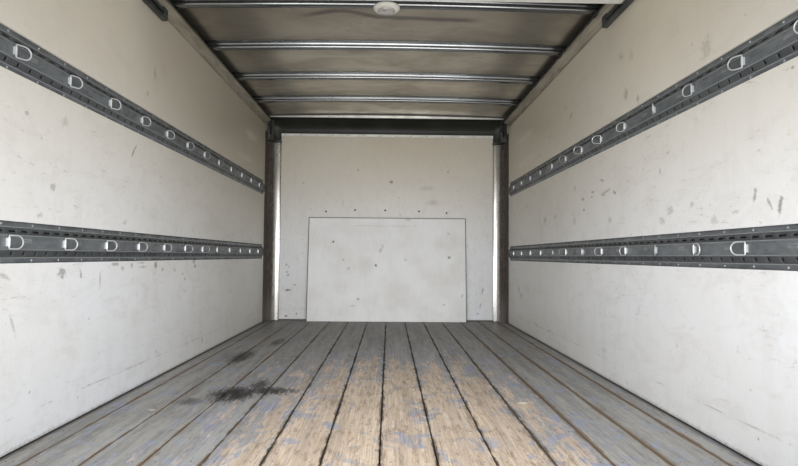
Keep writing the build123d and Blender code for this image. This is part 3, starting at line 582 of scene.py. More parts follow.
def roof_finish():
    """Satin roof sheet: brown-grey inside, with scratches and one long dent; painted shade darkens it near
    the doorway, towards its sides, on the left, beside the bows, along the ledges and along the dent.
    """
    f = Finish("roof_sheet", 0.45, 0.38)
    aside = abs(f.x)
    cloud = f.noise((0.40, 0.22, 0.3), 5.0, 0.6, 0.5)
    brushed = f.noise((0.5, 0.004, 0.01), 3.0, 0.6)
    scratch = f.noise((0.14, 0.040, 0.2), 4.0, 0.78, 1.6)
    ragged = f.noise((0.03, 0.012, 0.03), 5.0, 0.7)
    wander = aside + f.noise((0.3, 0.3, 0.3), 1.0) * 0.16
    band = wander.ease(0.74, 0.92) * wander.ease(1.12, 0.98)
    dots = f.flecks((0.10, 0.14, 0.2)).ease(0.09, 0.03, 0.7) * scratch.ease(0.48, 0.58)
    turns = (f.y - first_bow_y) / bow_pitch
    offset = turns.off(round(turns)) * bow_pitch
    dent_y = f.x * 0.03 - f.x.off(-0.26).ease(0.26, 0.0, 0.045, -0.035)
    dent_off = f.y.off(dent_y + (cloud - 0.5) * 0.06)
    dent = dent_off.ease(0.042, 0.006) * f.x.off(0.02).ease(0.56, 0.40)
    base = f.coats(
        (214, 206, 189), ((176, 167, 150), cloud.ease(0.3, 0.72)),
        # Painted shade near the doorway, where the rolled-up door shades the roof.
        ((128, 120, 106), f.y.ease(1.3, -0.2, 0.75)),
        ((140, 131, 116), brushed.ease(0.4, 0.75, 0.22)),
        # Painted shade in a band towards each side, and more on the left.
        ((96, 96, 90), band * 0.5),
        ((96, 90, 76), f.x.ease(-0.50, -1.0, 0.35)),
        ((74, 66, 56), scratch.ease(0.63, 0.68, 0.6)),
        ((60, 54, 46), dots),
        # Painted shade in strips beside each bow and along the ledges.
        ((58, 56, 52), (offset + ragged * 0.014).ease(0.058, 0.046, 0.8)),
        ((54, 52, 48), (aside + ragged * 0.02).ease(ledge_x - 0.034, ledge_x + 0.004, 0.8)),
        # Painted shade along the dent, which the bump also shapes.
        ((74, 71, 65), dent * 0.75))
    skin = f.coats((206, 208, 209), ((196, 198, 199), cloud.ease(0.3, 0.75)))
    base = f.coats(skin, (base, f.inward((0, 0, 0))))
    relief = cloud * 1.5 + (brushed - dent * 1.5)
    return f.done(base, cloud.ease(0.3, 0.8, 0.5, 0.32), relief, 0.0008, 0.4)


def nose_finish(name, light, dark, metallic):
    """Front end's sheet: smooth outside; dark inside, a dark lining that also stands for painted shade in the
    recess.
    """
    f = Finish(name, metallic, 0.4, 0.2)
    cloud = f.noise((0.25, 0.25, 0.25), 3.0, 0.6)
    streaks = f.noise((0.05, 0.05, 0.5), 3.0, 0.65)
    skin = f.coats(light, (dark, cloud.ease(0.35, 0.75)), (dark, streaks.ease(0.55, 0.85, 0.3)))
    # Dark inside: partly a dark coat, partly painted shade in the recesses at the front of the roof.
    shade_lining = f.coats((46, 47, 42), ((36, 36, 32), cloud.ease(0.3, 0.7)))
    inside = f.inward((0.0, 1.90, 1.55))
    f.set({"Metallic": inside.ease(0.0, 1.0, 0.0, metallic)})
    return f.done(f.coats(skin, (shade_lining, inside)), 0.4, cloud, 0.0008, 0.3)


def metal_finish(name, light, dark, metallic, roughness, lumps=(0.1, 0.1, 0.1), grain=(0.004, 0.004, 0.2)):
    """Sheet or rolled metal with clouds, brushing and a few rubs."""
    f = Finish(name, metallic, roughness)
    cloud = f.noise(lumps, 5.0, 0.6, 0.4)
    brushed = f.noise(grain, 3.0, 0.6)
    base = f.coats(light, (dark, cloud.ease(0.3, 0.72)), (dark, brushed.ease(0.35, 0.75, 0.35)))
    return f.done(base, cloud.ease(0.3, 0.8, roughness + 0.14, roughness - 0.08), brushed, 0.0002, 0.35)


def paint_finish(name, light, dark, roughness, lumps=(0.12, 0.12, 0.12), dust=None):
    """Painted or moulded surface with faint unevenness, and dust that settled on it if a colour is given."""
    f = Finish(name, 0.0, roughness)
    cloud = f.noise(lumps, 5.0, 0.6)
    fine = f.noise((0.01, 0.01, 0.01), 3.0, 0.7)
    base = f.coats(light, (dark, cloud.ease(0.35, 0.75)), (dark, fine.ease(0.6, 0.8, 0.25)))
    if dust:
        base = f.coats(base, (dust, f.noise((0.25, 0.25, 0.12), 6.0, 0.7, 0.5).ease(0.46, 0.68, 0.7)))
    return f.done(base, cloud.ease(0.3, 0.8, roughness + 0.12, roughness - 0.05), fine, 0.0003, 0.3)


def board_finish():
    """Painted plywood board: faint upright grain, a few holes and scuffs, a dark line round its edge that is
    partly dirt and partly painted shadow of the gap behind it.
    """
    f = Finish("board_paint", 0.0, 0.5, 0.4)
    cloud = f.noise((0.25, 0.25, 0.25), 5.0)
    grain = f.noise((0.008, 0.02, 0.22), 4.0, 0.6)
    ragged = f.noise((0.012, 0.012, 0.012), 5.0, 0.7, 0.8)
    specks = f.flecks((0.06, 0.06, 0.05)).ease(0.13, 0.05, 0.5)
    scrape = f.z.off(floor_z + 0.93).ease(0.004, 0.001) * f.x.off(-0.04).ease(0.30, 0.24)
    to_edge = (board_high.x - board_low.x) / 2 - f.x.off((board_low.x + board_high.x) / 2)
    base = f.coats(
        (244, 245, 246), ((233, 233, 232), cloud.ease(0.35, 0.75)),
        ((206, 205, 202), grain.ease(0.45, 0.75, 0.22)),
        ((122, 118, 112), specks * ragged.ease(0.54, 0.64)),
        ((66, 62, 58), f.marks(board_marks, ragged, "front")),
        ((150, 146, 140), scrape * 0.35),
        # Dark line round the edge: dirt on the edge and a painted shadow of the gap behind the board.
        ((62, 58, 53), to_edge.least(board_high.z - f.z).ease(0.010, 0.004, 0.95)))
    return f.done(base, cloud.ease(0.3, 0.8, 0.58, 0.44), grain, 0.0005, 0.5)


def ledge_finish():
    """Extruded rail under the roof: film of grime, dark in its grooves, with painted shade along its inner
    edge.
    """
    f = Finish("filmed_aluminium", 0.2, 0.5)
    cloud = f.noise((0.05, 0.25, 0.05), 5.0, 0.6, 0.4)
    drawn = f.noise((0.003, 0.4, 0.003), 3.0, 0.6)
    smudge = f.noise((0.02, 0.09, 0.02), 6.0, 0.7, 1.0)
    aside = abs(f.x)
    skin = f.coats((208, 210, 211), ((188, 190, 191), cloud.ease(0.3, 0.7)))
    base = f.coats(
        (164, 157, 141), ((132, 125, 110), cloud.ease(0.3, 0.72)),
        ((132, 126, 112), drawn.ease(0.40, 0.75, 0.4)),
        ((84, 78, 68), smudge.ease(0.60, 0.74, 0.5)),
        # Painted shade along the inner edge, under the dark gap above the ledge.
        ((62, 58, 52), (aside + smudge * 0.012).ease(ledge_x + 0.014, ledge_x + 0.008, 0.75)),
        (skin, aside.ease(wall_outer_x - 0.001, wall_outer_x)))
    return f.done(base, cloud.ease(0.3, 0.8, 0.6, 0.42), drawn, 0.0002, 0.4)


def header_finish():
    """Folded sheet at the front end of the roof: dull and scratched, dark along its top by painted shade
    above its lip.
    """
    f = Finish("header_zinc", 0.5, 0.4)
    cloud = f.noise((0.12, 0.05, 0.05), 5.0, 0.6)
    ragged = f.noise((0.014, 0.02, 0.006), 6.0, 0.75)
    top = f.z + (ragged - 0.5) * 0.006 - f.x * f.x * (-bow_crown / wall_x ** 2)
    chips = ragged.ease(0.55, 0.62) * f.x.off(-0.56).ease(0.24, 0.06)
    # The dark upper part is painted shade above the bright lip.
    base = f.coats((230, 230, 228), ((204, 204, 200), cloud.ease(0.3, 0.7)),
                   ((46, 45, 42), top.ease(header_low.z + 0.020, header_low.z + 0.024, 0.92)),
                   ((52, 50, 46), chips * 0.9))
    return f.done(base, cloud.ease(0.3, 0.8, 0.5, 0.34), ragged, 0.0003, 0.4)


def strip_finish():
    """Bright folded strip on the top edge of the front wall, with a broken dark line along its lower edge."""
    f = Finish("cap_strip", 0.2, 0.4)
    cloud = f.noise((0.10, 0.03, 0.03), 3.0)
    ragged = f.noise((0.020, 0.02, 0.004), 4.0, 0.7)
    foot = (f.z + ragged * 0.008).ease(strip_high.z - 0.019, strip_high.z - 0.022)
    reach = f.x.off(0.26).ease(0.66, 0.40, 1.0, 0.25)
    base = f.coats((240, 239, 233), ((214, 213, 206), cloud.ease(0.3, 0.7)),
                   ((92, 88, 82), foot * reach * (ragged.ease(0.46, 0.56) * 0.9)))
    return f.done(base, cloud.ease(0.3, 0.8, 0.5, 0.34), ragged, 0.0003, 0.3)


def lens_finish(name, light, dark):
    """Moulded lens with fine upright flutes under a clear face."""
    f = Finish(name, 0.0, 0.16)
    cloud = f.noise((0.03, 0.03, 0.03), 4.0)
    flutes = f.math("SINE", f.x * 900.0)
    base = f.coats(light, (dark, cloud.ease(0.3, 0.75)), (dark, flutes.ease(-0.6, 0.8, 0.35)))
    f.set({"Coat Weight": 0.6})
    return f.done(base, 0.16, flutes, 0.0006, 0.5)


road_dust = (120, 112, 100)
finishes = {
    "white_panel": wall_finish("left_wall_skin", left_marks, far_top_shade=0.5),
    "right_panel": wall_finish("right_wall_skin", right_marks),
    "front_panel": wall_finish("front_wall_skin", front_marks, "front"),
    "floor_wood": floor_finish(),
    "galvanised_steel": rail_finish(),
    "bright_zinc": metal_finish("bright_zinc", (206, 209, 211), (172, 175, 177), 0.5, 0.36),
    "ring_zinc": ring_finish(),
    "rivet_metal": metal_finish("rivet_metal", (186, 190, 193), (150, 154, 157), 0.4, 0.42,
                                (0.02, 0.02, 0.02)),
    "frame_steel": paint_finish("frame_black", (44, 45, 47), (60, 58, 55), 0.5, dust=road_dust),
    "mill_aluminium": metal_finish("mill_aluminium", (198, 200, 202), (186, 188, 190), 0.6, 0.38,
                                   (0.4, 0.4, 0.4)),
    "corner_cap": nose_finish("corner_moulding", (200, 202, 203), (188, 190, 191), 0.4),
    "rail_aluminium": ledge_finish(),
    "corner_metal": corner_finish(),
    "dark_steel": metal_finish("dark_steel", (80, 82, 82), (54, 55, 54), 0.3, 0.5),
    "white_paint": paint_finish("white_paint", (228, 229, 228), (220, 220, 217), 0.32, (0.5, 0.5, 0.5)),
    "roof_aluminium": roof_finish(),
    "bow_steel": metal_finish("bow_zinc", (132, 134, 134), (112, 114, 114), 0.9, 0.22, (0.9, 0.4, 0.4),
                              (0.9, 0.02, 0.02)),
    "cap_strip": strip_finish(),
    "gusset_steel": metal_finish("gusset_steel", (66, 67, 64), (42, 43, 41), 0.0, 0.6),
    "header_steel": header_finish(),
    "lamp_white": paint_finish("lamp_shell", (224, 222, 213), (206, 203, 192), 0.35),
    "lamp_lens": lens_finish("lamp_lens", (178, 175, 172), (152, 149, 147)),
    "nose_metal": nose_finish("nose_sheet", (228, 229, 228), (214, 215, 212), 0.0),
    "board_white": board_finish(),
    "door_white": paint_finish("door_skin", (226, 226, 222), (206, 205, 198), 0.48, dust=(186, 181, 168)),
    "red_lens": lens_finish("red_lens", (176, 20, 20), (112, 8, 10)),
    "amber_lens": lens_finish("amber_lens", (226, 134, 26), (186, 92, 14)),
    "rubber": paint_finish("rubber", (38, 38, 38), (54, 53, 51), 0.7),
    "sealer": paint_finish("sealer", (26, 26, 25), (44, 43, 40), 0.6, (0.02, 0.02, 0.02)),
}
# Finishes of nodes whose finish isn't that of their slot
own_finish = {"corner_gusset_left": "gusset_steel", "corner_gusset_right": "gusset_steel",
              "corner_cap_left": "corner_cap", "corner_cap_right": "corner_cap",
              "side_panel_right": "right_panel", "front_panel": "front_panel",
              "front_panel_cap": "cap_strip", "header_bow": "header_steel"}


def finish_of(node):
    return own_finish.get(node, slots[node])


def mesh_of(bm, name):
    mesh = bpy.data.meshes.new(name)
    bm.to_mesh(mesh)
    bm.free()
    return mesh


def shown(name, data):
    made = bpy.data.objects.new(name, data)
    bpy.context.scene.collection.objects.link(made)
    return made


def piece(name, bm, slot, replaced=(), body=BODY, finish=None, soft=None):
    """Makes a finished piece of a shaped mesh, which rides on a body and may stand for CAD nodes.

    Its shading is soft over edges flatter than the angle soft."""
    made = shown(name, mesh_of(bm, name))
    made.data.materials.append(finishes[finish or slot])
    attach(made, body)
    if replaced:
        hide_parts(*replaced)
    if soft:
        for face in made.data.polygons:
            face.use_smooth = True
        made.data.set_sharp_from_angle(angle=radians(soft))
    return made


def beveled(made, width):
    """Eases a piece's sharp edges."""
    bevel = made.modifiers.new("eased_edges", "BEVEL")
    bevel.width = width
    bevel.segments = 2
    bevel.limit_method = "ANGLE"
    bevel.angle_limit = radians(sharp_angle)
    bevel.harden_normals = False


def sheeted(made, thickness):
    """Gives a folded form the thickness of its sheet, behind its face."""
    wall = made.modifiers.new("sheet", "SOLIDIFY")
    wall.thickness = thickness
    wall.offset = -1.0


def eased(node, width):
    """Merged copy of a CAD node with its sharp edges eased, which stands for the node."""
    bm = bmesh.new()
    bm.from_mesh(frame["nodes"][node].data)
    bmesh.ops.remove_doubles(bm, verts=bm.verts, dist=0.00002)
    body = frame["nodes"][node]["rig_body"]
    made = piece(node + "_eased", bm, slots[node], (node,), body, finish_of(node), sharp_angle)
    if width:
        beveled(made, width)


def only(kind, geom):
    return [g for g in geom if isinstance(g, kind)]


def edges_of(verts):
    return list({edge for v in verts for edge in v.link_edges})


def outward(bm):
    bmesh.ops.recalc_face_normals(bm, faces=bm.faces)


def joined(bm, form):
    """Adds a form, made on its own, to a piece's mesh."""
    mesh = mesh_of(form, "form")
    bm.from_mesh(mesh)
    bpy.data.meshes.remove(mesh)


def brick(bm, low, high, edge=0.0):
    """Block between two corners, with eased edges."""
    verts = bmesh.ops.create_cube(bm, size=1.0)["verts"]
    low = Vector(low)
    high = Vector(high)
    bmesh.ops.scale(bm, vec=high - low, verts=verts)
    bmesh.ops.translate(bm, vec=(low + high) / 2, verts=verts)
    if edge:
        bmesh.ops.bevel(bm, geom=edges_of(verts), offset=edge, offset_type="OFFSET", affect="EDGES",
                        segments=2, profile=0.5, material=-1)
    return verts


def slab(bm, sign, corners, edge=0.0):
    """Block given by its right-hand X, Y and Z ranges, put on either side of the body."""
    (x0, x1), (y0, y1), (z0, z1) = corners
    xs = sorted((sign * x0, sign * x1))
    brick(bm, (xs[0], y0, z0), (xs[1], y1, z1), edge)


def placed(place, direction):
    """Carries a form to a place and its +Z to a direction."""
    return Matrix.Translation(place) @ Vector(direction).to_track_quat("Z", "Y").to_matrix().to_4x4()


def rivet(bm, place, direction, radius=0.005, height=0.0022, sides=8):
    """Low rivet head on a surface."""
    matrix = placed(place, direction) @ Matrix.Translation((0, 0, height / 2))
    bmesh.ops.create_cone(bm, cap_ends=True, segments=sides, radius1=radius, radius2=radius * 0.5,
                          depth=height, matrix=matrix)


def rivet_row(bm, start, end, pitch, direction, radius=0.005, height=0.0022):
    """Rivet heads from one point to another at about a pitch."""
    start = Vector(start)
    end = Vector(end)
    count = max(1, round((end - start).length / pitch))
    for i in range(count + 1):
        rivet(bm, start.lerp(end, i / count), direction, radius, height)


def turned(bm, outline, steps, place, direction):
    """Adds a form of revolution: (radius, height) points about an axis, carried to its place."""
    form = bmesh.new()
    verts = [form.verts.new((r, 0.0, h)) for r, h in outline]
    edges = [form.edges.new(pair) for pair in zip(verts, verts[1:])]
    bmesh.ops.spin(form, geom=verts + edges, cent=(0, 0, 0), axis=(0, 0, 1), angle=2 * pi, steps=steps,
                   use_merge=True, use_duplicate=False)
    bmesh.ops.remove_doubles(form, verts=form.verts, dist=0.00002)
    outward(form)
    bmesh.ops.transform(form, matrix=placed(place, direction), verts=form.verts)
    joined(bm, form)


def drawn_on(bm, edges, moves):
    """Carries the open end of a tube through straight runs and turns."""
    for move in moves:
        if move[0] == "run":
            made = bmesh.ops.extrude_edge_only(bm, edges=edges)["geom"]
            bmesh.ops.translate(bm, vec=move[1], verts=only(bmesh.types.BMVert, made))
        else:
            _, centre, axis, angle, steps = move
            geom = list(edges) + list({v for e in edges for v in e.verts})
            bend = bmesh.ops.spin(bm, geom=geom, cent=centre, axis=axis, angle=angle, steps=steps)
            made = bend["geom_last"]
        kept = set(only(bmesh.types.BMVert, made))
        edges = [edge for edge in only(bmesh.types.BMEdge, made) if kept.issuperset(edge.verts)]


def ring_mesh():
    """D-shaped ring of round rod on its hinge axis, lying towards +Y."""
    bm = bmesh.new()
    half = (ring_height - ring_rod) / 2
    reach = ring_length - ring_rod - half
    corner = ring_rod * 0.8
    verts = bmesh.ops.create_circle(bm, segments=8, radius=ring_rod / 2)["verts"]
    edges = edges_of(verts)
    bmesh.ops.translate(bm, vec=(0, 0, -half + corner), verts=verts)
    drawn_on(bm, edges, [
        ("turn", (0, corner, -half + corner), (1, 0, 0), pi / 2, 3),
        ("run", (0, reach - corner, 0)),
        ("turn", (0, reach, 0), (1, 0, 0), pi, 12),
        ("run", (0, corner - reach, 0)),
        ("turn", (0, corner, half - corner), (1, 0, 0), pi / 2, 3),
        ("run", (0, 0, 2 * corner - 2 * half)),
    ])
    bmesh.ops.remove_doubles(bm, verts=bm.verts, dist=0.00005)
    outward(bm)
    return mesh_of(bm, "ring_form")


def saddle_mesh():
    """Narrow strap bent over a ring's straight bar and seated on the rail's web."""
    bm = bmesh.new()
    arch = ring_rod / 2 + saddle_wall
    bend = 0.0034
    verts = bmesh.ops.create_cube(bm, size=1.0)["verts"]
    bmesh.ops.scale(bm, vec=(hinge_to_web + arch, saddle_width, saddle_height), verts=verts)
    bmesh.ops.translate(bm, vec=((hinge_to_web - arch) / 2, 0, 0), verts=verts)
    outer = [e for e in bm.edges if all(v.co.x < 0 for v in e.verts) and e.verts[0].co.y == e.verts[1].co.y]
    bmesh.ops.bevel(bm, geom=outer, offset=bend, offset_type="OFFSET", affect="EDGES", segments=3,
                    profile=0.5, material=-1)
    return mesh_of(bm, "saddle_form")


def ring_place(side, level, number):
    """Where a ring's hinge axis is, counted from the front."""
    return hinges["ring_%s_%s_swing" % (side, level)] + Vector((0, ring_pitch * (ring_count - 1 - number), 0))


def ring_matrix(side, level, number, turned_out):
    """Place of a ring, mirrored on the left, with its own angle if it is turned out."""
    angle = odd_rings.get((side, level), {}).get(number, ring_rest_angle) if turned_out else 0.0
    flip = Matrix.Diagonal((SIDES[side], 1, 1, 1))
    turn = Matrix.Rotation(radians(angle), 4, "Z")
    return Matrix.Translation(ring_place(side, level, number)) @ flip @ turn


def lashing_rings(side, level):
    """One rail's rings and saddles: the fixed ones in one piece, and the one that swings."""
    fixed = bmesh.new()
    swing = bmesh.new()
    for number in range(ring_count):
        loose = swing if number == ring_count - 1 else fixed
        for bm, form, turned_out in ((fixed, saddle_form, False), (loose, ring_form, True)):
            start = len(bm.verts)
            bm.from_mesh(form)
            bm.verts.ensure_lookup_table()
            matrix = ring_matrix(side, level, number, turned_out)
            bmesh.ops.transform(bm, matrix=matrix, verts=bm.verts[start:])
    if side == "left":
        bmesh.ops.reverse_faces(fixed, faces=fixed.faces)
        bmesh.ops.reverse_faces(swing, faces=swing.faces)
    name = "%s_%s" % (side, level)
    piece("lashing_rings_" + name, fixed, "bright_zinc", ("rail_rings_" + name,), finish="ring_zinc", soft=40)
    piece("loose_ring_" + name, swing, "bright_zinc", ("swing_ring_" + name,), "ring_" + name, soft=40)


def rail_section():
    """Distances across the folded strip where it bends, and the X and Z of its face there."""
    outer = wall_x + rail_recess - rail_sheet
    inner = wall_x + rail_recess - rail_depth
    slant = hypot(rail_slope, outer - inner)
    corners = [(outer, 0.0), (outer, rail_flange), (inner, rail_flange + rail_slope)]
    corners += [(x, rail_height - z) for x, z in reversed(corners)]
    folds = [0.0, rail_flange, rail_flange + slant]
    width = 2 * folds[-1] + rail_height - 2 * rail_flange - 2 * rail_slope
    return folds + [width - f for f in reversed(folds)], corners


def slotted_strip(sign, low, high, first):
    """The folded strip as a grid, opened where the slots and keyholes are and bent along its folds."""
    folds, corners = rail_section()
    key = (folds[1] + folds[2]) / 2
    slot = (folds[3] + folds[4]) / 2
    bend = 0.0015
    openings = [(key, keyhole_height / 2), (slot, slot_height / 2)]
    bends = [(fold, bend) for fold in folds[1:-1]]
    across = sorted({*folds, *(middle + s * reach for middle, reach in openings + bends for s in (-1, 1))})
    start = first - floor((first - slot_length - low.y) / slot_pitch) * slot_pitch
    count = int((high.y - slot_length - start) // slot_pitch) + 1
    along = [low.y]
    for i in range(count):
        y = start + i * slot_pitch
        along += [y - slot_length / 2, y - keyhole_length / 2, y + keyhole_length / 2, y + slot_length / 2]
    along.append(high.y)

    bm = bmesh.new()
    bmesh.ops.create_grid(bm, x_segments=len(across) - 1, y_segments=len(along) - 1, size=0.5)
    gone = []
    for face in bm.faces:
        middle = face.calc_center_median()
        row = int((middle.x + 0.5) * (len(across) - 1))
        column = int((middle.y + 0.5) * (len(along) - 1)) - 1
        s = (across[row] + across[row + 1]) / 2
        in_slot = abs(s - slot) < slot_height / 2 and column % 4 < 3
        in_key = abs(s - key) < keyhole_height / 2 and column % 4 == 1
        if 0 <= column < 4 * count and (in_slot or in_key):
            gone.append(face)
    bmesh.ops.delete(bm, geom=gone, context="FACES")
    for v in bm.verts:
        s = across[round((v.co.x + 0.5) * (len(across) - 1))]
        column = round((v.co.y + 0.5) * (len(along) - 1))
        leg = max(i for i in range(len(folds) - 1) if folds[i] <= s + 1e-6)
        t = (s - folds[leg]) / (folds[leg + 1] - folds[leg])
        (x0, z0), (x1, z1) = corners[leg], corners[leg + 1]
        v.co = (sign * (x0 + t * (x1 - x0)), along[column], low.z + z0 + t * (z1 - z0))
    outward(bm)
    if sum(f.normal.x * sign for f in bm.faces) > 0:
        bmesh.ops.reverse_faces(bm, faces=bm.faces)
    return bm


def lashing_rail(side, level):
    """Folded strip with a row of slots above the web and keyholes below it, and what is fixed to it."""
    sign = SIDES[side]
    name = "%s_%s" % (side, level)
    low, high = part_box("cargo_rail_" + name)
    first = hinges["ring_%s_swing" % name].y + slot_pitch / 2
    strip = slotted_strip(sign, low, high, first)
    rail = piece("slotted_rail_" + name, strip, "galvanised_steel", ("cargo_rail_" + name,), soft=12)
    sheeted(rail, rail_sheet)

    back = wall_x + rail_recess
    heads = bmesh.new()
    for z in (low.z + rail_flange / 2, high.z - rail_flange / 2):
        x = sign * (back - rail_sheet)
        rivet_row(heads, (x, low.y + 0.05, z), (x, high.y - 0.05, z), rail_rivet_pitch, (-sign, 0, 0), 0.0046)
    piece("rail_rivets_" + name, heads, "bright_zinc", finish="rivet_metal", soft=50)

    # Dark strips in the hollow behind the slots and keyholes: painted shade that makes the openings read
    # black.
    shade_lining = bmesh.new()
    for middle in (rail_flange + rail_slope / 2, rail_height - rail_flange - rail_slope / 2):
        slab(shade_lining, sign, ((back - 0.0009, back - 0.0001), (low.y + 0.002, high.y - 0.002),
                            (low.z + middle - 0.012, low.z + middle + 0.012)))
    piece("rail_slot_shade_" + name, shade_lining, "galvanised_steel", finish="sealer")

    ribs = bmesh.new()
    web = back - rail_depth
    for number in range(ring_count):
        place = ring_place(side, level, number)
        for behind, wide, half, proud in embossed_lines:
            y = place.y - behind
            if y > low.y + 0.004:
                slab(ribs, sign, ((web - proud, web + 0.0004), (y - wide / 2, y + wide / 2),
                                  (place.z - half, place.z + half)))
    piece("rail_embossing_" + name, ribs, "galvanised_steel")


def planks():
    """Floor planks, the outer ones cut to the rounded corner posts, and their screws."""
    cut_x = 0.065
    cut_y = 0.0425
    bm = bmesh.new()
    count = int(2 * wall_x // plank_pitch) // 2
    edges = [i * plank_pitch for i in range(-count, count + 1)]
    edges = [-wall_x - plank_gap / 2] + edges + [wall_x + plank_gap / 2]
    for left, right in zip(edges, edges[1:]):
        verts = brick(bm, (left + plank_gap / 2, rear_y, floor_low.z),
                      (right - plank_gap / 2, front_y, floor_z))
        if left == edges[0] or right == edges[-1]:
            sign = 1 if right > 0 else -1
            geom = verts + edges_of(verts) + list({f for v in verts for f in v.link_faces})
            cut = bmesh.ops.bisect_plane(bm, geom=geom, clear_outer=True,
                                         plane_co=(sign * wall_x, front_y - 0.042, 0),
                                         plane_no=(sign * cut_y, cut_x, 0))
            bmesh.ops.holes_fill(bm, edges=only(bmesh.types.BMEdge, cut["geom_cut"]), sides=0)
    beveled(piece("planks", bm, "floor_wood", ("floor_boards",), soft=40), plank_edge)
    screws = bmesh.new()
    rows = int((front_y - rear_y - 0.2) // crossmember_pitch)
    first = (rear_y + front_y - rows * crossmember_pitch) / 2
    for left, right in zip(edges, edges[1:]):
        middle = (left + right) / 2
        reach = (right - left) / 2 - 0.035
        for row in range(rows + 1):
            y = first + row * crossmember_pitch
            for x in (middle - reach, middle + reach):
                rivet(screws, (x, y, floor_z - 0.0014), (0, 0, 1), 0.0044, 0.0020)
    piece("floor_screws", screws, "dark_steel", soft=40)


def bow_outline():
    """Y and Z of a bow's outer face: grooved underside, webs with two round ridges, flanges."""
    base = bow_base / 2
    right = [(base - 0.0032, 0.0), (base - 0.0009, 0.0009)]
    steps = 20
    for i in range(steps + 1):
        z = 0.0032 + (bow_depth - 0.0090) * i / steps
        right.append((base + bow_ridge / 2 * (1 - cos(4 * pi * z / bow_depth)), z))
    top = bow_depth - bow_sheet
    right += [(base + 0.0012, top - 0.0012), (base + 0.0036, top), (base + bow_flange, top)]
    left = [(-y, z) for y, z in reversed(right)]
    groove = [(base - 0.0085, 0.0), (base - 0.0082, 0.0022), (base - 0.0058, 0.0022), (base - 0.0055, 0.0)]
    return left + groove + right


def roof_bows():
    """Rolled hat sections with two rounded ridges along each web, on the roof's arc."""
    half = bow_high.x - 0.001
    radius = (half ** 2 + bow_crown ** 2) / (2 * bow_crown)
    centre = bow_low.z + bow_crown - radius
    turn = atan2(half, radius - bow_crown)
    bm = bmesh.new()
    for i in range(bow_count):
        y = first_bow_y - i * bow_pitch
        ring = [bm.verts.new((0.0, y + dy, centre + radius + dz)) for dy, dz in bow_outline()]
        edges = [bm.edges.new(pair) for pair in zip(ring, ring[1:])]
        bmesh.ops.rotate(bm, cent=(0, y, centre), matrix=Matrix.Rotation(-turn, 3, "Y"), verts=ring)
        bmesh.ops.spin(bm, geom=ring + edges, cent=(0, y, centre), axis=(0, 1, 0), angle=2 * turn, steps=20)
    outward(bm)
    if sum(f.normal.z * f.calc_area() for f in bm.faces) > 0:
        bmesh.ops.reverse_faces(bm, faces=bm.faces)
    sheeted(piece("ridged_bows", bm, "bow_steel", ("roof_bows",), soft=50), bow_sheet)


def roof_rivets():
    """Rivet lines on the roof over the bows."""
    half = roof_high.x
    drop = roof_high.z - roof_low.z - 0.0016
    heads = bmesh.new()
    columns = 22
    for i in range(bow_count):
        for y in (first_bow_y - i * bow_pitch - 0.028, first_bow_y - i * bow_pitch + 0.028):
            for j in range(columns + 1):
                x = (half - 0.03) * (2 * j / columns - 1)
                z = roof_high.z - drop * (x / half) ** 2
                rivet(heads, (x, y, z - 0.0002), (0, 0, 1), 0.0045, 0.0018, 6)
    piece("roof_rivets", heads, "bright_zinc", finish="rivet_metal", soft=50)


def sealer_and_shade_bead(name, x, z, radius, lumps):
    """Hand-laid bead of sealer along the top rail's ledge, swelling where it meets each bow; a thin one also
    stands for painted shade in the gap above the ledge.
    """
    start = rear_y + 0.02
    end = header_low.y - 0.01
    steps = 460
    bm = bmesh.new()
    ring = bmesh.ops.create_circle(bm, segments=6, radius=1.0)["verts"]
    bmesh.ops.rotate(bm, cent=(0, 0, 0), matrix=Matrix.Rotation(pi / 2, 3, "X"), verts=ring)
    bmesh.ops.translate(bm, vec=(0, start, 0), verts=ring)
    drawn_on(bm, edges_of(ring), [("run", (0, (end - start) / steps, 0))] * steps)
    bmesh.ops.holes_fill(bm, edges=[e for e in bm.edges if e.is_boundary], sides=0)
    for v in bm.verts:
        y = v.co.y
        turns = (y - first_bow_y) / bow_pitch
        near_bow = abs(turns - round(turns)) * bow_pitch
        swell = 1.0 + lumps * max(0.0, 1.0 - near_bow / 0.05)
        wide = radius * swell * (1.0 + 0.35 * sin(y * 61.0) + 0.25 * sin(y * 143.0 + 1.0))
        drift = 0.0035 * sin(y * 17.0) + 0.002 * sin(y * 47.0 + 2.0)
        v.co = (x + drift + v.co.x * wide, y, z + 0.6 * drift + v.co.z * wide)
    outward(bm)
    piece(name, bm, "dark_steel", finish="sealer", soft=60)


def seam_beads():
    """Thin sealer lines where the front wall meets its posts and the walls meet the floor."""
    bm = bmesh.new()
    for sign in SIDES.values():
        slab(bm, sign, ((front_edge_x - 0.0025, front_edge_x + 0.0015), (front_y - 0.0018, front_y),
                        (floor_z, strip_high.z - 0.03)), 0.0006)
        slab(bm, sign, ((wall_x - 0.005, wall_x), (rear_y + 0.002, corner_y),
                        (floor_z, floor_z + 0.004)), 0.0015)
    for low_x, high_x in ((-front_edge_x, board_low.x), (board_high.x, front_edge_x)):
        brick(bm, (low_x, front_y - 0.009, floor_z), (high_x, front_y, floor_z + 0.008), 0.0025)
    piece("seam_beads", bm, "dark_steel", finish="sealer")


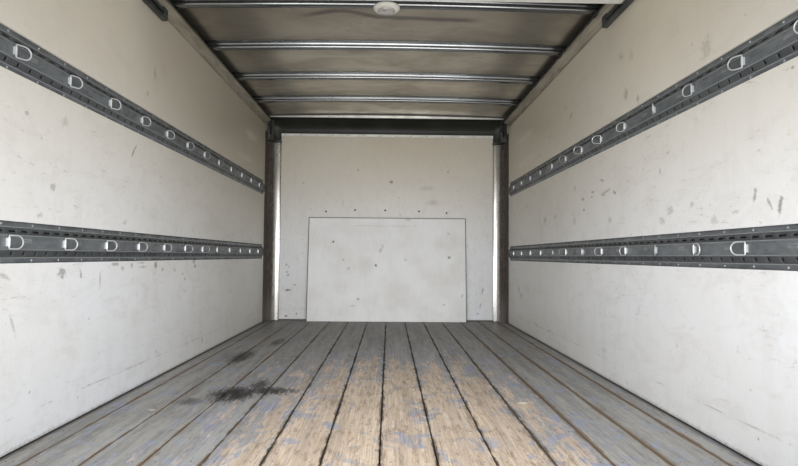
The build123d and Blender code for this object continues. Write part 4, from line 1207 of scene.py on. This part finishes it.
def post_caps():
    """Dark plate on the top of each corner post, rounded to the post's inside."""
    bm = bmesh.new()
    thick = 0.013
    for sign in SIDES.values():
        disc = bmesh.new()
        bmesh.ops.create_circle(disc, cap_ends=True, segments=64, radius=corner_radius - 0.001)
        bmesh.ops.translate(disc, vec=(sign * front_edge_x, corner_y, post_high.z + 0.001), verts=disc.verts)
        beside = ((sign * (front_edge_x - 0.008), 0, 0), (-sign, 0, 0))
        behind = ((0, corner_y + 0.002, 0), (0, -1, 0))
        for co, no in (beside, behind):
            bmesh.ops.bisect_plane(disc, geom=disc.verts[:] + disc.edges[:] + disc.faces[:], plane_co=co,
                                   plane_no=no, clear_outer=True)
        bmesh.ops.solidify(disc, geom=disc.faces[:], thickness=thick)
        outward(disc)
        low = min(v.co.z for v in disc.verts)
        bmesh.ops.translate(disc, vec=(0, 0, post_high.z + 0.002 - thick - low), verts=disc.verts)
        joined(bm, disc)
    piece("post_caps", bm, "dark_steel", finish="sealer")


def corner_sealer():
    """Lumps of dark sealer pressed into the roof's front corners, more of them on the right."""
    bm = bmesh.new()
    ledge_z = 2.136
    corner_x = 1.098
    corner_z = 2.155
    for sign, count in ((-1, 7), (1, 26)):
        for i in range(count):
            share = i / count
            if share < 0.45:
                x = ledge_x + 0.006 + 0.010 * sin(i * 2.3)
                place = (sign * x, header_low.y - 0.30 * share, ledge_z + 0.006 * sin(i * 4.1))
                size = (0.010, 0.018, 0.008)
            else:
                x = corner_x + 0.055 * (share - 0.45) + 0.012 * sin(i * 5.3)
                y = header_low.y + 0.040 + 0.010 * sin(i * 3.7)
                place = (sign * x, y, corner_z - 0.26 * (share - 0.45))
                size = (0.011, 0.010, 0.015)
            swell = 0.75 + 0.35 * sin(i * 7.9)
            verts = bmesh.ops.create_icosphere(bm, subdivisions=2, radius=1.0)["verts"]
            for v in verts:
                v.co *= 1.0 + 0.22 * sin(v.co.x * 5.1 + i) * sin(v.co.y * 6.3 + 2 * i)
            bmesh.ops.scale(bm, vec=Vector(size) * swell, verts=verts)
            bmesh.ops.translate(bm, vec=place, verts=verts)
    piece("corner_sealer", bm, "dark_steel", finish="sealer", soft=80)


def wall_screws():
    """Dark screw holes in the front wall over the board."""
    bm = bmesh.new()
    for x, height in wall_holes:
        turned(bm, [(0.0, 0.0005), (0.005, 0.0006), (0.0075, 0.0018), (0.0095, 0.0), (0.0, 0.0)], 12,
               (x, front_y, floor_z + height), (0, -1, 0))
    piece("wall_screws", bm, "dark_steel", finish="sealer", soft=40)


def track_ends():
    """Hanger plates and bolts at the front ends of the door tracks."""
    plates = bmesh.new()
    bolts = bmesh.new()
    inner = track_low.x - 0.002
    end = track_high.y
    high = track_high.z
    for sign in SIDES.values():
        slab(plates, sign, ((inner, inner + 0.003), (end - 0.05, end), (high - 0.040, high + 0.012)), 0.0008)
        slab(plates, sign, ((inner, wall_x - 0.006), (end - 0.05, end - 0.012),
                            (high + 0.009, high + 0.012)), 0.0008)
        for y in (end - 0.038, end - 0.014):
            rivet(bolts, (sign * inner, y, high - 0.020), (-sign, 0, 0), 0.006, 0.005, 6)
    piece("track_hangers", plates, "dark_steel", soft=40)
    piece("track_bolts", bolts, "dark_steel", soft=40)


def dome_light():
    """Round lamp: white rim with a soft edge, flat grey lens and one screw."""
    middle = ((dome_low.x + dome_high.x) / 2, (dome_low.y + dome_high.y) / 2, dome_high.z)
    radius = (dome_high.x - dome_low.x) / 2
    rim = bmesh.new()
    turned(rim, [(0.0, 0.0), (radius, 0.0), (radius, 0.007), (radius - 0.002, 0.011),
                 (radius - 0.006, 0.0145), (radius - 0.014, 0.0175), (radius - 0.024, 0.0190),
                 (radius - 0.026, 0.0170), (0.0, 0.0170)], 48, middle, (0, 0, -1))
    screw = (middle[0] - 0.012, middle[1] - radius + 0.010, middle[2] - 0.0155)
    rivet(rim, screw, (0, -0.3, -1), 0.0025, 0.0015)
    piece("dome_light_rim", rim, "lamp_white", ("dome_light",), soft=50)
    lens = bmesh.new()
    edge = radius - 0.0265
    turned(lens, [(0.0, 0.0172), (edge, 0.0172), (edge, 0.0215), (edge - 0.003, 0.0245),
                  (edge - 0.008, 0.0265), (edge - 0.020, 0.0285), (0.0, 0.0295)], 48, middle, (0, 0, -1))
    piece("dome_light_lens", lens, "lamp_white", finish="lamp_lens", soft=50)


def tail_lamps():
    """Round rear lamps: domed lenses in rubber rings."""
    radius = 0.054
    inner = radius - 0.008
    outer = radius + 0.003
    spacing = 0.138
    z = (lamp_low.z + lamp_high.z) / 2
    lens = bmesh.new()
    rubber = bmesh.new()
    for sign in SIDES.values():
        for i in range(2):
            place = (sign * (lamp_high.x - 0.057 - i * spacing), lamp_low.y, z)
            turned(lens, [(0.0, -0.02), (inner, -0.02), (inner, 0.004), (radius - 0.014, 0.0075),
                          (0.030, 0.0095), (0.0, 0.0105)], 40, place, (0, -1, 0))
            turned(rubber, [(inner, -0.004), (radius - 0.007, 0.003), (radius - 0.004, 0.0048),
                            (radius + 0.001, 0.004), (outer, 0.0005), (outer, -0.0002), (radius, -0.0002),
                            (radius, -0.02), (outer, -0.02), (inner, -0.02)], 40, place, (0, -1, 0))
    piece("tail_lamp_lenses", lens, "red_lens", ("tail_lamps",), soft=50)
    piece("tail_lamp_rings", rubber, "red_lens", finish="rubber", soft=50)


def counterbalance():
    """Door spring wound round its shaft, with grooved cable drums at both ends."""
    y = (shaft_low.y + shaft_high.y) / 2
    z = (shaft_low.z + shaft_high.z) / 2
    half = shaft_high.x
    drum = (shaft_high.z - shaft_low.z) / 2
    shaft = 0.0127
    unit = bmesh.new()
    turned(unit, [(0.0, -half), (shaft, -half), (shaft, half), (0.0, half)], 20, (0, y, z), (1, 0, 0))
    for sign in SIDES.values():
        outline = [(shaft, 0.0), (drum, 0.0), (drum, 0.004)]
        for i in range(5):
            outline += [(drum - 0.004, 0.006 + 0.006 * i), (drum - 0.001, 0.009 + 0.006 * i)]
        outline += [(drum, 0.036), (drum, 0.040), (shaft, 0.040), (shaft, 0.0)]
        turned(unit, outline, 24, (sign * (half - 0.040), y, z), (sign, 0, 0))
    piece("counterbalance_shaft", unit, "dark_steel", ("counterbalance",), soft=40)
    spring = bmesh.new()
    turns = 92
    length = 0.68
    wire = 0.003
    coil = 0.0205
    ring = bmesh.ops.create_circle(spring, segments=6, radius=wire)["verts"]
    bmesh.ops.translate(spring, vec=(coil, 0, 0), verts=ring)
    bmesh.ops.rotate(spring, cent=(0, 0, 0), matrix=Matrix.Rotation(pi / 2, 3, "X"), verts=ring)
    steps = turns * 12
    bmesh.ops.spin(spring, geom=ring + edges_of(ring), cent=(0, 0, 0), axis=(0, 0, 1),
                   dvec=(0, 0, length / steps), angle=turns * 2 * pi, steps=steps)
    bmesh.ops.holes_fill(spring, edges=[e for e in spring.edges if e.is_boundary], sides=0)
    outward(spring)
    bmesh.ops.transform(spring, matrix=placed((-length / 2, y, z), (1, 0, 0)), verts=spring.verts)
    piece("counterbalance_spring", spring, "dark_steel", soft=60)


def door_joint(number):
    """Y and Z of a hinge line of the open door, counted from its foot."""
    upright = rear_y + track_plane
    level = track_high.z - track_width / 2
    turn = (door_start + number * door_panel_height) / track_radius
    if turn < pi / 2:
        return upright + track_radius * (1 - cos(turn)), level - track_radius * (1 - sin(turn))
    return upright + track_radius * (1 + turn - pi / 2), level


def door_rollers():
    """Roller and stem at each end of each hinge line, running in the tracks."""
    stem = 0.0045
    reach = 0.066
    wheels = bmesh.new()
    stems = bmesh.new()
    for number in range(door_panel_count + 1):
        y, z = door_joint(number)
        for sign in SIDES.values():
            middle = sign * (track_low.x + track_high.x) / 2
            turned(wheels, [(0.0, -0.006), (0.016, -0.006), (0.0185, -0.003), (0.0185, 0.003), (0.016, 0.006),
                            (0.0, 0.006)], 20, (middle, y, z), (sign, 0, 0))
            turned(stems, [(0.0, 0.0), (stem, 0.0), (stem, reach), (0.0, reach)], 8,
                   (middle - sign * 0.062, y, z - 0.0001), (sign, 0, 0))
    piece("door_rollers", wheels, "bright_zinc", finish="lamp_white", soft=40)
    piece("roller_stems", stems, "bright_zinc", soft=40)


def outer_rivets():
    """Rivet rows outside: bottom rails, top rails, corner posts and nose."""
    heads = bmesh.new()
    pitch = 0.1016
    start = rear_y + 0.04
    foot = floor_z + 0.09
    head = post_high.z - 0.04
    rail_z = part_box("bottom_rail_right")[0].z
    low_row = rail_z + 0.012
    high_row = rail_z + 0.138
    roof_row = roof_low.z - 0.082
    for sign in SIDES.values():
        out = (sign, 0, 0)
        x = sign * rail_outer_x
        rows = ((high_row, corner_y - 0.03), (low_row, corner_y - 0.03), (roof_row, header_low.y - 0.02))
        for z, end in rows:
            rivet_row(heads, (x, start, z), (x, end, z), pitch, out)
        x = sign * post_high.x
        for y in (post_low.y + 0.018, post_low.y + 0.060):
            rivet_row(heads, (x, y, foot), (x, y, head), pitch, out)
        x = sign * (front_edge_x - 0.022)
        rivet_row(heads, (x, post_high.y, foot), (x, post_high.y, head), pitch, (0, 1, 0))
    span = front_edge_x - 0.09
    for z in (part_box("front_bottom_rail")[0].z + 0.135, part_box("nose_cap")[0].z + 0.016):
        rivet_row(heads, (-span, post_high.y, z), (span, post_high.y, z), pitch, (0, 1, 0))
    piece("outer_rivets", heads, "bright_zinc", finish="rivet_metal", soft=50)


def strip_rivets():
    """Small dark rivets along the strip on the top edge of the front wall."""
    heads = bmesh.new()
    z = strip_high.z - 0.014
    half = front_edge_x - 0.04
    rivet_row(heads, (-half, strip_low.y, z), (half, strip_low.y, z), 0.1524, (0, -1, 0), 0.004, 0.0012)
    piece("strip_rivets", heads, "dark_steel", soft=50)


def stage():
    """Pale floor, even world light, and a soft lamp in the doorway that lights the load space."""
    bm = bmesh.new()
    bmesh.ops.create_circle(bm, cap_ends=True, segments=64, radius=60.0)
    f = Finish("pale_floor", 0.0, 0.9, 0.2)
    near = f.coats((224, 224, 222), ((229, 229, 227), f.noise((1.5, 1.5, 1.5), 3.0)))
    out = f.math("SQRT", f.x * f.x + f.y * f.y)
    f.set({"Base Color": f.coats(near, ((250, 251, 252), out.ease(3.5, 14.0)))})
    ground = shown("pale_floor", mesh_of(bm, "pale_floor"))
    ground.data.materials.append(f.material)
    ground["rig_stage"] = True

    world = bpy.data.worlds.new("studio")
    world.use_nodes = True
    nodes = world.node_tree.nodes
    links = world.node_tree.links
    soft = nodes["Background"]
    white = nodes.new("ShaderNodeBackground")
    for light, colour, strength in ((soft, (0.97, 0.98, 1.0, 1.0), 0.8), (white, (1.0, 1.0, 1.0, 1.0), 1.0)):
        light.inputs["Color"].default_value = colour
        light.inputs["Strength"].default_value = strength
    both = nodes.new("ShaderNodeMixShader")
    seen = nodes.new("ShaderNodeLightPath").outputs["Is Camera Ray"]
    for socket, source in zip(both.inputs, (seen, soft.outputs[0], white.outputs[0])):
        links.new(source, socket)
    links.new(both.outputs[0], nodes["World Output"].inputs["Surface"])
    bpy.context.scene.world = world

    sun = bpy.data.lights.new("high_window", "SUN")
    sun.energy = 0.9
    sun.angle = radians(35)
    shown("high_window", sun).rotation_euler = Vector((0.55, 0.42, 0.85)).to_track_quat("Z", "Y").to_euler()

    lamp = bpy.data.lights.new("doorway_light", "AREA")
    lamp.shape = "RECTANGLE"
    lamp.size = 2.1
    lamp.size_y = 1.3
    lamp.energy = 37.0
    lamp.spread = radians(118)
    holder = shown("doorway_light", lamp)
    holder.location = (0.0, rear_y + 0.02, floor_z + 0.72)
    holder.rotation_euler = (radians(86), 0, 0)
    holder.visible_camera = False


def camera():
    """Camera at the photo's viewpoint, just behind the open doorway."""
    ahead = Vector((sin(camera_yaw), cos(camera_yaw), 0.0))
    forward = ahead * cos(camera_pitch) + Vector((0.0, 0.0, sin(camera_pitch)))
    level = Vector((cos(camera_yaw), -sin(camera_yaw), 0.0))
    upward = level.cross(forward)
    right = level * cos(camera_roll) + upward * sin(camera_roll)
    up = upward * cos(camera_roll) - level * sin(camera_roll)
    lens = bpy.data.cameras.new("viewpoint")
    lens.lens = camera_lens
    lens.sensor_width = 36.0
    lens.clip_start = 0.05
    made = shown("viewpoint", lens)
    place = (camera_x, front_y - camera_from_front, floor_z + camera_over_floor)
    made.matrix_world = Matrix.Translation(place) @ Matrix((right, up, -forward)).transposed().to_4x4()
    bpy.context.scene.camera = made


for node, made in frame["nodes"].items():
    made.data.materials.clear()
    made.data.materials.append(finishes[finish_of(node)])

camera()
stage()
ring_form = ring_mesh()
saddle_form = saddle_mesh()
for side in SIDES:
    for level in LEVELS:
        lashing_rings(side, level)
        lashing_rail(side, level)
planks()
roof_bows()
roof_rivets()
sealer_and_shade_bead("ledge_sealer_right", ledge_x - 0.001, bow_low.z - 0.003, 0.0055, 1.3)
# On the left a thin dark bead is painted shade in the gap above the ledge.
sealer_and_shade_bead("ledge_shade_bead_left", -ledge_x - 0.001, bow_low.z - 0.001, 0.0026, 0.6)
seam_beads()
post_caps()
corner_sealer()
wall_screws()
strip_rivets()
track_ends()
dome_light()
tail_lamps()
counterbalance()
door_rollers()
outer_rivets()

# Solids that only need their edges eased, with the width of the bevel
side_edges = {"front_corner": 0.0006, "corner_cap": 0.0, "corner_gusset": 0.0006, "top_rail": 0.0006,
              "door_track": 0.0, "bottom_rail": 0.0012, "rear_post": 0.003, "long_sill": 0.0015}
other_edges = {"crossmembers": 0.0012, "nose_cap": 0.0, "header_bow": 0.0010, "front_panel_cap": 0.0006,
               "bulkhead_board": 0.0015, "rear_header": 0.003, "rear_sill": 0.002, "rear_markers": 0.002,
               "front_markers": 0.002, "door_panels": 0.0025, "door_hinges": 0.0008, "shaft_brackets": 0.001}
for side in SIDES:
    for node, width in side_edges.items():
        eased("%s_%s" % (node, side), width)
for node, width in other_edges.items():
    eased(node, width)

bpy.context.scene.view_settings.view_transform = "Standard"

{"cad": [list(c) for c in cad_size], "scene": [list(c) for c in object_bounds()]}
